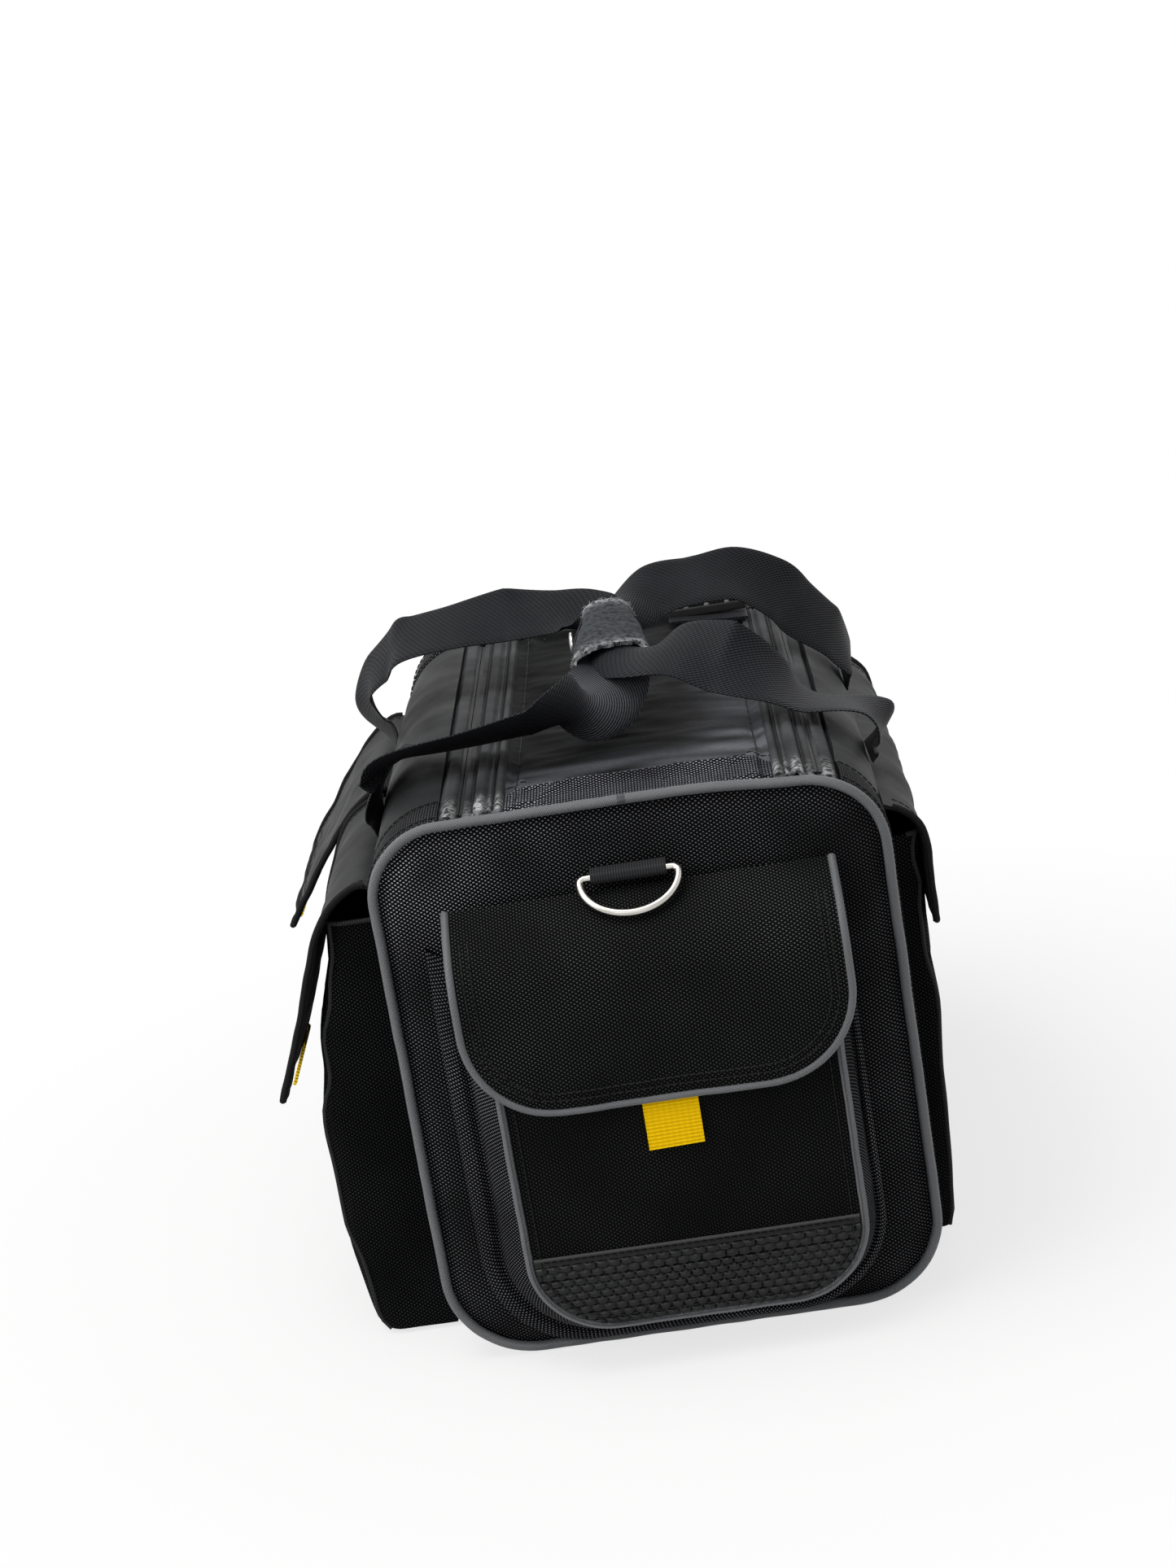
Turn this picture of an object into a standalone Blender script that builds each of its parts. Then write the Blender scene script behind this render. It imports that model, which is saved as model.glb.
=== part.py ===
# Soft-sided flight bag: padded carcass, zipped lid, flapped pockets, webbing handles.
# Metres, +Z up. The photographed end faces -Y, and X runs to its right.
import math

import bmesh
import bpy
from mathutils import Vector

# Carcass
LENGTH = 0.360
WIDTH = 0.235
HEIGHT = 0.264
TOP_RADIUS = 0.036
BOTTOM_RADIUS = 0.042
WALL = 0.004
GAP = 0.0003
ARC_STEPS = 5
GUSSET = 0.030
PIPING_RADIUS = 0.0023
BOARD_THICKNESS = 0.003
BOARD_MARGIN = 0.008

# Lid and zips, placed by their distance from the middle of the top
LEFT_SLIT = 0.071
RIGHT_SLIT = 0.090
TAPE_OUTER = 0.0095
TAPE_INNER = 0.0200
TAPE_THICKNESS = 0.0024
REAR_BRIDGE = 0.040
SLIDER_WIDTH = 0.008
SLIDER_LENGTH = 0.011
SLIDER_HEIGHT = 0.0032
PULL_LENGTH = 0.024
PULL_WIDTH = 0.006
PULL_THICKNESS = 0.0015
BUCKLE_X = 0.053
BUCKLE_WIDTH = 0.042
BUCKLE_DEPTH = 0.012
BUCKLE_HEIGHT = 0.010
BUCKLE_SLOT = 0.0024
BUCKLE_TAB = 0.030
BUCKLE_SETBACK = 0.0075
BUCKLE_SLOT_DEPTH = 0.005

# D-rings and their webbing tabs
RING_WIRE = 0.0018
RING_HALF = 0.0208
RING_DEPTH = 0.024
RING_AXIS_OUT = 0.0055
RING_DROP = 0.0340
RING_AXIS_Z = HEIGHT - RING_DROP
RING_TILT = math.radians(47)
RING_TAB_WIDTH = 0.034
RING_TAB_THICKNESS = 0.0010
RING_STEPS = 12

# End pockets and flaps, hung below the rings
FLAP_BELOW_RING = 0.0060
FLAP_FALL = 0.024
FLAP_COVER = 0.034
FLAP_TOP = RING_AXIS_Z - FLAP_BELOW_RING
FLAP_BREAK = FLAP_TOP - FLAP_FALL
POCKET_DEPTH = 0.030
POCKET_TOP = FLAP_TOP - FLAP_COVER
BACK_HALF = 0.094
BACK_SHIFT = -0.002
BACK_BOTTOM = 0.008
BACK_RADIUS = 0.046
FACE_HALF = 0.0765
FACE_SHIFT = 0.0045
FACE_BOTTOM = 0.024
FACE_RADIUS = 0.036
POCKET_WALL = 0.0025
PATCH_TOP = 0.062
PATCH_THICKNESS = 0.001

# End flaps
FLAP_HALF = 0.085
FLAP_SHIFT = 0.003
FLAP_LENGTH = 0.089
FLAP_BOTTOM = FLAP_TOP - FLAP_LENGTH
FLAP_RADIUS = 0.040
FLAP_THICKNESS = 0.002
FLAP_CLEARANCE = 0.0025
EDGE_PIPING = 0.0019
TAB_WIDTH = 0.025
TAB_DROP = 0.026
TAB_HIDDEN = 0.008
TAB_THICKNESS = 0.0014
STRIP_WIDTH = 0.080
STRIP_HEIGHT = 0.022
STRIP_THICKNESS = 0.0008

# Side pockets
SIDE_LENGTH = 0.130
SIDE_PITCH = 0.152
SIDE_FLOOR_DEPTH = 0.038
SIDE_BELLY_DEPTH = 0.045
SIDE_MOUTH_DEPTH = 0.024
SIDE_BOTTOM = 0.002
SIDE_BELLY = 0.090
SIDE_COVER = 0.023
SIDE_WALL = 0.0025
SIDE_FLAP_THICKNESS = 0.002
SIDE_FLAP_Z = HEIGHT - TOP_RADIUS
SIDE_TOP = SIDE_FLAP_Z - SIDE_COVER
SIDE_FLAP_OVERHANG = 0.003
SHOULDER_OUT = 0.0255
SHOULDER_DROP = 0.013
FRONT_TIP_OUT = 0.061
FRONT_TIP_DROP = 0.099
REAR_TIP_OUT = 0.065
REAR_TIP_DROP = 0.065
RIGHT_LENGTH = 0.270
RIGHT_FLOOR_DEPTH = 0.009
RIGHT_DEPTH = 0.015
RIGHT_BOTTOM = 0.012
RIGHT_BELLY = 0.150
RIGHT_COVER = 0.016
RIGHT_TOP = SIDE_FLAP_Z - RIGHT_COVER
RIGHT_FLAP_FALL = 0.044
RIGHT_FLAP_BOTTOM = RIGHT_TOP - RIGHT_FLAP_FALL

# Handles
WEB_WIDTH = 0.038
WEB_THICKNESS = 0.0016
ANCHOR_FRONT = -0.070
ANCHOR_REAR = 0.064
WEB_END = 0.031
WEB_STEPS = 4
WEB_LEVEL_LEFT = 0.0265
WEB_LEVEL_RIGHT = 0.0345
WRAP_FRONT = -0.052
WRAP_REAR = 0.004
WRAP_WALL = 0.0025
WRAP_CENTRE = 0.003
WRAP_HALF = 0.0225
WRAP_LOW = 0.020
WRAP_HIGH = 0.043
SNAP_RADIUS = 0.006
SNAP_THICKNESS = 0.0018
SNAP_EDGE = 0.0011
SNAP_CROWN = 0.0042
SNAP_SIDES = 16

FRONT = -1
REAR = 1
HALF = WIDTH / 2

FINISHES = {
    'weave': ((0.020, 0.021, 0.024), 0.75, 0.0),
    'coated': ((0.028, 0.029, 0.031), 0.55, 0.0),
    'webbing': ((0.016, 0.016, 0.018), 0.70, 0.0),
    'piping': ((0.33, 0.33, 0.34), 0.60, 0.0),
    'suede': ((0.045, 0.044, 0.045), 0.90, 0.0),
    'patch': ((0.015, 0.015, 0.016), 0.40, 0.0),
    'yellow': ((0.86, 0.62, 0.01), 0.70, 0.0),
    'grey tab': ((0.055, 0.055, 0.058), 0.75, 0.0),
    'nickel': ((0.78, 0.76, 0.72), 0.18, 1.0),
    'plastic': ((0.015, 0.015, 0.016), 0.45, 0.0),
    'board': ((0.030, 0.030, 0.030), 0.80, 0.0),
    'hook': ((0.012, 0.012, 0.012), 0.95, 0.0),
}


def clear_scene():
    for item in list(bpy.data.objects):
        bpy.data.objects.remove(item, do_unlink=True)


def add_finish(item, kind):
    colour, roughness, metallic = FINISHES[kind]
    material = bpy.data.materials.new(item.name)
    material.use_nodes = True
    shader = material.node_tree.nodes['Principled BSDF']
    shader.inputs['Base Color'].default_value = (*colour, 1)
    shader.inputs['Roughness'].default_value = roughness
    shader.inputs['Metallic'].default_value = metallic
    item.data.materials.append(material)


def add_mesh(name, kind, verts, faces, origin=(0, 0, 0), smooth=False):
    origin = Vector(origin)
    mesh = bpy.data.meshes.new(name)
    mesh.from_pydata([Vector(v) - origin for v in verts], [], faces)
    work = bmesh.new()
    work.from_mesh(mesh)
    bmesh.ops.recalc_face_normals(work, faces=work.faces)
    work.to_mesh(mesh)
    work.free()
    if smooth:
        mesh.shade_smooth()
        mesh.set_sharp_from_angle(angle=math.radians(40))
    item = bpy.data.objects.new(name, mesh)
    item.location = origin
    bpy.context.collection.objects.link(item)
    add_finish(item, kind)
    return item


def skin(name, kind, sections, closed=False, origin=(0, 0, 0), smooth=False):
    """Joins equal sections in order; an open run is capped at both ends."""
    count = len(sections[0])
    verts = [point for section in sections for point in section]
    faces = []
    runs = len(sections) if closed else len(sections) - 1
    for i in range(runs):
        a = i * count
        b = (i + 1) % len(sections) * count
        for k in range(count):
            n = (k + 1) % count
            faces.append((a + k, a + n, b + n, b + k))
    if not closed:
        faces.append(tuple(range(count)))
        faces.append(tuple(range(len(verts) - count, len(verts))))
    return add_mesh(name, kind, verts, faces, origin, smooth)


def box(name, kind, low, high, origin=(0, 0, 0)):
    rings = []
    for z in (low[2], high[2]):
        near = [(low[0], low[1], z), (high[0], low[1], z)]
        far = [(high[0], high[1], z), (low[0], high[1], z)]
        rings.append(near + far)
    return skin(name, kind, rings, origin=origin)


def pouch(name, kind, wall_x, side, y0, y1, levels, wall):
    """A pocket on a side wall: levels give its depth from the floor to the open mouth."""
    def ring(inset, z, depth):
        near, far = wall_x + side * inset, wall_x + side * (depth - inset)
        return [(near, y0 + inset, z), (far, y0 + inset, z), (far, y1 - inset, z), (near, y1 - inset, z)]
    rings = [ring(0, z, depth) for z, depth in levels]
    rings += [ring(wall, z, depth) for z, depth in reversed(levels[1:])]
    floor_z, floor_depth = levels[0]
    rings.append(ring(wall, floor_z + wall, floor_depth))
    return skin(name, kind, rings)


def tube(name, kind, path, radius, sides=8, closed=False, origin=(0, 0, 0)):
    points = [Vector(p) for p in path]
    count = len(points)
    sections = []
    side = None
    for i, point in enumerate(points):
        before = points[i - 1] if closed or i else point
        after = points[(i + 1) % count] if closed or i < count - 1 else point
        along = (after - before).normalized()
        if side is None:
            side = along.orthogonal().normalized()
        side = (side - along * side.dot(along)).normalized()
        other = along.cross(side)
        turns = [2 * math.pi * k / sides for k in range(sides)]
        sections.append([point + radius * (math.cos(t) * side + math.sin(t) * other) for t in turns])
    return skin(name, kind, sections, closed, origin, smooth=True)


def offset(path, distance):
    """A polyline moved sideways, to the left of its direction, with mitred corners."""
    points = [Vector(p) for p in path]
    moved = []
    for i, point in enumerate(points):
        sides = []
        for a, b in ((i - 1, i), (i, i + 1)):
            if a >= 0 and b < len(points):
                run = (points[b] - points[a]).normalized()
                sides.append(Vector((-run.y, run.x)))
        mean = sum(sides, Vector((0, 0))).normalized()
        moved.append(point + mean * distance / mean.dot(sides[0]))
    return moved


def band(name, kind, path, thickness, place, start, end, origin=(0, 0, 0)):
    """A bent plate: a flat path with a thickness, spread between two places across it."""
    inner = offset(path, thickness)
    sections = []
    for p, q in zip(path, inner):
        sections.append([place(p, start), place(p, end), place(q, end), place(q, start)])
    return skin(name, kind, sections, origin=origin)


def across_y(point, y):
    return (point[0], y, point[1])


def arc(centre, radius, start, end, steps=ARC_STEPS):
    turns = [math.radians(start + (end - start) * k / steps) for k in range(steps + 1)]
    return [(centre[0] + radius * math.cos(t), centre[1] + radius * math.sin(t)) for t in turns]


# The bag's section is a rounded rectangle. Its rim is measured in metres from the middle
# of the top, to the left, down the left side and round to the top again.
def rim_runs():
    top = HALF - TOP_RADIUS
    bottom = WIDTH - 2 * BOTTOM_RADIUS
    side = HEIGHT - TOP_RADIUS - BOTTOM_RADIUS
    quarter = math.pi / 2
    left, right = -HALF, HALF
    top_z = HEIGHT - TOP_RADIUS
    return [
        ('line', top, (0, HEIGHT), (-1, 0)),
        ('arc', quarter * TOP_RADIUS, (left + TOP_RADIUS, top_z), TOP_RADIUS, 90),
        ('line', side, (left, top_z), (0, -1)),
        ('arc', quarter * BOTTOM_RADIUS, (left + BOTTOM_RADIUS, BOTTOM_RADIUS), BOTTOM_RADIUS, 180),
        ('line', bottom, (left + BOTTOM_RADIUS, 0), (1, 0)),
        ('arc', quarter * BOTTOM_RADIUS, (right - BOTTOM_RADIUS, BOTTOM_RADIUS), BOTTOM_RADIUS, 270),
        ('line', side, (right, BOTTOM_RADIUS), (0, 1)),
        ('arc', quarter * TOP_RADIUS, (right - TOP_RADIUS, top_z), TOP_RADIUS, 0),
        ('line', top, (right - TOP_RADIUS, HEIGHT), (-1, 0)),
    ]


def rim_length():
    return sum(run[1] for run in rim_runs())


def rim(distance, inset=0.0):
    """A point on the rim, moved inwards by the inset."""
    for run in rim_runs():
        if distance <= run[1] + 1e-9:
            break
        distance -= run[1]
    if run[0] == 'line':
        (x, z), (dx, dz) = run[2], run[3]
        return (x + dx * distance - dz * inset, z + dz * distance + dx * inset)
    turn = math.radians(run[4]) + distance / run[3]
    (x, z), radius = run[2], run[3] - inset
    return (x + radius * math.cos(turn), z + radius * math.sin(turn))


def rim_stops(start, end):
    """Distances along the rim that a strip needs: its ends, corners and points on arcs."""
    stops = [start]
    place = 0.0
    for run in rim_runs():
        pieces = ARC_STEPS if run[0] == 'arc' else 1
        for k in range(pieces + 1):
            stop = place + run[1] * k / pieces
            if stops[-1] + 1e-6 < stop < end - 1e-6:
                stops.append(stop)
        place += run[1]
    return stops + [end]


def strip(name, kind, start, end, y0, y1, thickness=WALL, origin=(0, 0, 0)):
    """A stretch of the bag's rounded wall, which may run past the middle of the top."""
    if start < end:
        stops = rim_stops(start, end)
    else:
        stops = rim_stops(start, rim_length()) + rim_stops(0.0, end)[1:]
    sections = []
    for stop in stops:
        outer, inner = rim(stop), rim(stop, thickness)
        outside = [across_y(outer, y0), across_y(outer, y1)]
        sections.append(outside + [across_y(inner, y1), across_y(inner, y0)])
    return skin(name, kind, sections, origin=origin, smooth=True)


def closed_rim(inset):
    return [rim(stop, inset) for stop in rim_stops(0.0, rim_length())[:-1]]


def build_carcass():
    inside = LENGTH / 2 - 2 * PIPING_RADIUS - GAP
    length = rim_length()
    left_edge = LEFT_SLIT + GAP / 2 + TAPE_OUTER + GAP
    right_edge = length - RIGHT_SLIT - GAP / 2 - TAPE_OUTER - GAP
    floor_start = sum(run[1] for run in rim_runs()[:4])
    floor_end = floor_start + WIDTH - 2 * BOTTOM_RADIUS
    middle = inside - GUSSET - GAP
    for name, side in (('front', FRONT), ('rear', REAR)):
        plate = closed_rim(2 * PIPING_RADIUS + GAP)
        y0 = side * LENGTH / 2
        y1 = side * (LENGTH / 2 - WALL)
        skin(name + '_end_panel', 'weave', [[across_y(p, y) for p in plate] for y in (y0, y1)], smooth=True)
        ring = [across_y(p, side * (LENGTH / 2 - PIPING_RADIUS)) for p in closed_rim(PIPING_RADIUS)]
        tube(name + '_piping', 'piping', ring, PIPING_RADIUS, closed=True)
        ends = sorted((side * inside, side * (inside - GUSSET)))
        strip(name + '_gusset', 'weave', left_edge, right_edge, *ends)
    strip('left_side_panel', 'coated', left_edge, floor_start, -middle, middle)
    strip('bottom_panel', 'coated', floor_start + GAP, floor_end - GAP, -middle, middle)
    strip('right_side_panel', 'coated', floor_end, right_edge, -middle, middle)
    board_x = HALF - BOTTOM_RADIUS
    board_z = WALL + GAP
    low = (-board_x, BOARD_MARGIN - inside, board_z)
    high = (board_x, inside - BOARD_MARGIN, board_z + BOARD_THICKNESS)
    box('base_board', 'board', low, high)


def build_lid():
    inside = LENGTH / 2 - 2 * PIPING_RADIUS - GAP
    rear = inside - REAR_BRIDGE
    length = rim_length()
    half_gap = GAP / 2
    hinge = (0, -inside, HEIGHT)
    left_tape = LEFT_SLIT - half_gap
    right_tape = RIGHT_SLIT - half_gap
    left_panel = left_tape - TAPE_INNER - GAP
    right_panel = right_tape - TAPE_INNER - GAP
    under = HEIGHT - WALL
    lid = [(-left_panel, HEIGHT), (right_panel, HEIGHT), (right_panel, under), (-left_panel, under)]
    skin('lid_panel', 'coated', [[across_y(p, y) for p in lid] for y in (-inside, rear)], origin=hinge)
    strip('rear_top_strip', 'weave', length - right_tape, left_tape, rear + GAP, inside)
    lid_tapes = {
        'left_zip_lid_tape': (left_tape - TAPE_INNER, left_tape),
        'right_zip_lid_tape': (length - right_tape, length - right_tape + TAPE_INNER),
    }
    for name, ends in lid_tapes.items():
        strip(name, 'webbing', *ends, -inside, rear, TAPE_THICKNESS, hinge)
    left_outer = LEFT_SLIT + half_gap
    right_outer = length - RIGHT_SLIT - half_gap
    body_tapes = {
        'left_zip_body_tape': (left_outer, left_outer + TAPE_OUTER),
        'right_zip_body_tape': (right_outer - TAPE_OUTER, right_outer),
    }
    for name, ends in body_tapes.items():
        strip(name, 'webbing', *ends, -inside, inside, TAPE_THICKNESS)
    build_sliders(rear)
    build_buckle(rear, hinge)


def build_sliders(rear):
    y = rear + GAP + SLIDER_LENGTH
    half = SLIDER_WIDTH / 2
    left_z = rim(LEFT_SLIT - half)[1]
    right_z = rim(rim_length() - RIGHT_SLIT + half)[1]
    for name, x, surface in (('left', -LEFT_SLIT, left_z), ('right', RIGHT_SLIT, right_z)):
        z = surface + GAP
        low = (x - half, y - SLIDER_LENGTH / 2, z)
        high = (x + half, y + SLIDER_LENGTH / 2, z + SLIDER_HEIGHT)
        box(name + '_zip_slider', 'nickel', low, high, origin=(x, y, z))
        top = high[2] + GAP
        pull_low = (x - PULL_WIDTH / 2, y, top)
        pull_high = (x + PULL_WIDTH / 2, y + PULL_LENGTH, top + PULL_THICKNESS)
        box(name + '_zip_pull', 'nickel', pull_low, pull_high, origin=(x, y, top))


def build_buckle(rear, hinge):
    tab_top = HEIGHT + GAP + WEB_THICKNESS
    half = BUCKLE_WIDTH / 2
    low = (BUCKLE_X - half, rear - BUCKLE_TAB, HEIGHT + GAP)
    high = (BUCKLE_X + half, rear - GAP, tab_top)
    box('buckle_tab', 'webbing', low, high, origin=hinge)
    base = tab_top + GAP
    top = base + BUCKLE_HEIGHT
    comb = [(BUCKLE_X - half, base), (BUCKLE_X + half, base), (BUCKLE_X + half, top)]
    slot_floor = top - BUCKLE_SLOT_DEPTH
    for k in (1, 0, -1):
        slot = BUCKLE_X + k * BUCKLE_WIDTH / 4
        for x, z in ((1, top), (1, slot_floor), (-1, slot_floor), (-1, top)):
            comb.append((slot + x * BUCKLE_SLOT / 2, z))
    comb.append((BUCKLE_X - half, top))
    back = rear - BUCKLE_SETBACK
    ends = (back - BUCKLE_DEPTH, back)
    skin('ladder_buckle', 'plastic', [[across_y(p, y) for p in comb] for y in ends], origin=hinge)


def u_path(half, shift, top, bottom, radius):
    """A pocket's outline from its top left, down, across and up to its top right."""
    left, right = shift - half, shift + half
    path = [(left, top)]
    path += arc((left + radius, bottom + radius), radius, 180, 270)
    path += arc((right - radius, bottom + radius), radius, 270, 360)
    return path + [(right, top)]


def build_end(name, side):
    def out(x, z, distance):
        return (x, side * (LENGTH / 2 + distance), z)

    def flat(path, distance):
        return [out(x, z, distance) for x, z in path]

    wall = POCKET_WALL
    back = u_path(BACK_HALF, BACK_SHIFT, POCKET_TOP, BACK_BOTTOM, BACK_RADIUS)
    back_in = u_path(BACK_HALF - wall, BACK_SHIFT, POCKET_TOP, BACK_BOTTOM + wall, BACK_RADIUS - wall)
    lip = 2 * EDGE_PIPING + GAP
    rim_half = FACE_HALF + wall
    edge = u_path(rim_half, FACE_SHIFT, POCKET_TOP, FACE_BOTTOM - wall, FACE_RADIUS + wall)
    edge_in = u_path(FACE_HALF, FACE_SHIFT, POCKET_TOP, FACE_BOTTOM, FACE_RADIUS)
    mouth = POCKET_DEPTH - lip - GAP
    loops = [flat(back, GAP), flat(edge, mouth), flat(edge_in, mouth), flat(back_in, GAP)]
    skin(name + '_pocket_gusset', 'weave', list(zip(*loops)), smooth=True)
    cord = u_path(FACE_HALF, FACE_SHIFT, POCKET_TOP, FACE_BOTTOM, FACE_RADIUS)
    tube(name + '_pocket_piping', 'piping', flat(cord, POCKET_DEPTH - EDGE_PIPING - GAP), EDGE_PIPING)
    inner = EDGE_PIPING + GAP
    face = u_path(FACE_HALF - inner, FACE_SHIFT, POCKET_TOP, FACE_BOTTOM + inner, FACE_RADIUS - inner)
    skin(name + '_pocket_face', 'weave', [flat(face, POCKET_DEPTH - wall), flat(face, POCKET_DEPTH)])
    lower = u_path(FACE_HALF - inner, FACE_SHIFT, PATCH_TOP, FACE_BOTTOM + inner, FACE_RADIUS - inner)
    ends = (POCKET_DEPTH + GAP, POCKET_DEPTH + GAP + PATCH_THICKNESS)
    skin(name + '_pocket_patch', 'patch', [flat(lower, d) for d in ends])
    loop_low = FLAP_BOTTOM + STRIP_HEIGHT / 2
    ends = (POCKET_DEPTH + GAP, POCKET_DEPTH + GAP + STRIP_THICKNESS)
    strip_box(name + '_loop_strip', 'hook', out, loop_low, ends)
    build_flap(name, out, loop_low)
    build_ring(name, out)


def strip_box(name, kind, out, low, ends, origin=(0, 0, 0)):
    half = STRIP_WIDTH / 2
    corners = [(-half, low), (half, low), (half, low + STRIP_HEIGHT), (-half, low + STRIP_HEIGHT)]
    skin(name, kind, [[out(FLAP_SHIFT + x, z, d) for x, z in corners] for d in ends], origin=origin)


def build_flap(name, out, loop_low):
    hinge = out(0, RING_AXIS_Z, RING_AXIS_OUT)
    hang = POCKET_DEPTH + FLAP_CLEARANCE
    profile = [(RING_AXIS_OUT / 2, FLAP_TOP), (hang / 2, (FLAP_TOP + FLAP_BREAK) / 2 + FLAP_THICKNESS)]
    profile += [(hang, FLAP_BREAK), (hang, FLAP_BOTTOM + FLAP_RADIUS)]
    widths = [FLAP_HALF] * len(profile)
    for x, z in arc((FLAP_HALF - FLAP_RADIUS, FLAP_BOTTOM + FLAP_RADIUS), FLAP_RADIUS, 0, -90)[1:]:
        profile.append((hang, z))
        widths.append(x)
    outer = offset(profile, FLAP_THICKNESS)
    sections = []
    left, right = [], []
    for half, near, far in zip(widths, profile, outer):
        x0, x1 = FLAP_SHIFT - half, FLAP_SHIFT + half
        sections.append([out(x0, near[1], near[0]), out(x1, near[1], near[0]),
                         out(x1, far[1], far[0]), out(x0, far[1], far[0])])
        middle = Vector(near) + (Vector(far) - Vector(near)).normalized() * EDGE_PIPING
        left.append((-half, middle))
        right.append((half, middle))
    skin(name + '_flap', 'weave', sections, origin=hinge)
    away = EDGE_PIPING + GAP
    reach = FLAP_RADIUS + away
    edge = []
    for half, middle in left[:4]:
        edge.append((half - away, middle))
    start = FLAP_BOTTOM + FLAP_RADIUS
    thick = hang + EDGE_PIPING
    centre = FLAP_HALF - FLAP_RADIUS
    for x, z in arc((-centre, start), reach, 180, 270)[1:]:
        edge.append((x, Vector((thick, z))))
    for x, z in arc((centre, start), reach, 270, 360)[:-1]:
        edge.append((x, Vector((thick, z))))
    for half, middle in reversed(right[:4]):
        edge.append((half + away, middle))
    route = [out(FLAP_SHIFT + x, m[1], m[0]) for x, m in edge]
    tube(name + '_flap_piping', 'piping', route, EDGE_PIPING, origin=hinge)
    half = TAB_WIDTH / 2
    top = FLAP_BOTTOM + TAB_HIDDEN
    corners = [(-half, FLAP_BOTTOM - TAB_DROP), (half, FLAP_BOTTOM - TAB_DROP), (half, top), (-half, top)]
    behind = hang - GAP
    ends = (behind - TAB_THICKNESS, behind)
    faces = [[out(FLAP_SHIFT + x, z, d) for x, z in corners] for d in ends]
    skin(name + '_pull_tab', 'yellow', faces, origin=hinge)
    ends = (behind - STRIP_THICKNESS, behind)
    strip_box(name + '_hook_strip', 'hook', out, loop_low, ends, hinge)


def build_ring(name, out):
    hinge = out(0, RING_AXIS_Z, RING_AXIS_OUT)
    outline = [(-RING_HALF + RING_WIRE, 0), (RING_HALF - RING_WIRE, 0)]
    for k in range(RING_STEPS + 1):
        turn = math.pi * k / RING_STEPS
        drop = RING_WIRE + (RING_DEPTH - RING_WIRE) * math.sin(turn)
        outline.append((RING_HALF * math.cos(turn), drop))
    route = []
    for x, drop in outline:
        away = drop * math.sin(RING_TILT)
        route.append(out(x, RING_AXIS_Z - drop * math.cos(RING_TILT), RING_AXIS_OUT + away))
    tube(name + '_d_ring', 'nickel', route, RING_WIRE, closed=True, origin=hinge)
    inner = RING_WIRE + GAP
    fold = [(GAP, RING_AXIS_Z - inner)]
    fold += arc((RING_AXIS_OUT, RING_AXIS_Z), inner, -90, 90)
    fold.append((GAP, RING_AXIS_Z + inner))
    half = RING_TAB_WIDTH / 2
    band(name + '_d_ring_tab', 'grey tab', fold, -RING_TAB_THICKNESS,
         lambda p, x: out(x, p[1], p[0]), -half, half)


def build_side_pockets():
    wall_x = -HALF - GAP
    levels = [(SIDE_BOTTOM, SIDE_FLOOR_DEPTH), (SIDE_BELLY, SIDE_BELLY_DEPTH), (SIDE_TOP, SIDE_MOUTH_DEPTH)]
    hinge = (wall_x, 0, SIDE_FLAP_Z)
    shoulder = (wall_x - SHOULDER_OUT, SIDE_FLAP_Z - SHOULDER_DROP)
    front_tip = (wall_x - FRONT_TIP_OUT, SIDE_FLAP_Z - FRONT_TIP_DROP)
    rear_tip = (wall_x - REAR_TIP_OUT, SIDE_FLAP_Z - REAR_TIP_DROP)
    for name, place, tip in (('left_front', FRONT, front_tip), ('left_rear', REAR, rear_tip)):
        y = place * SIDE_PITCH / 2
        y0, y1 = y - SIDE_LENGTH / 2, y + SIDE_LENGTH / 2
        pouch(name + '_pocket', 'weave', wall_x, -1, y0, y1, levels, SIDE_WALL)
        path = [(wall_x, SIDE_FLAP_Z), shoulder, tip]
        span = (y0 - SIDE_FLAP_OVERHANG, y1 + SIDE_FLAP_OVERHANG)
        band(name + '_flap', 'coated', path, -SIDE_FLAP_THICKNESS, across_y, *span, origin=hinge)
        side_tab(name, path, -SIDE_FLAP_THICKNESS, y, hinge)


def side_tab(name, path, away, y, hinge):
    """A pull tab laid inside a side flap and reaching past its lower edge."""
    end = Vector(path[-1])
    run = (end - Vector(path[-2])).normalized()
    square = Vector((-run.y, run.x)) * math.copysign(1, -away)
    start = end - run * TAB_HIDDEN + square * GAP
    stop = end + run * TAB_DROP / 2 + square * GAP
    thickness = math.copysign(TAB_THICKNESS, -away)
    span = (y - TAB_WIDTH / 2, y + TAB_WIDTH / 2)
    band(name + '_pull_tab', 'yellow', [start, stop], thickness, across_y, *span, hinge)


def build_right_pocket():
    wall_x = HALF + GAP
    outer = wall_x + RIGHT_DEPTH
    y = RIGHT_LENGTH / 2
    levels = [(RIGHT_BOTTOM, RIGHT_FLOOR_DEPTH), (RIGHT_BELLY, RIGHT_DEPTH), (RIGHT_TOP, RIGHT_DEPTH)]
    pouch('right_pocket', 'weave', wall_x, 1, -y, y, levels, SIDE_WALL)
    hinge = (wall_x, 0, SIDE_FLAP_Z)
    beyond = outer + FLAP_CLEARANCE
    path = [(wall_x, SIDE_FLAP_Z), (beyond, RIGHT_TOP), (beyond, RIGHT_FLAP_BOTTOM)]
    span = y + SIDE_FLAP_OVERHANG
    band('right_flap', 'coated', path, SIDE_FLAP_THICKNESS, across_y, -span, span, origin=hinge)
    side_tab('right', path, SIDE_FLAP_THICKNESS, 0, hinge)


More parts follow.
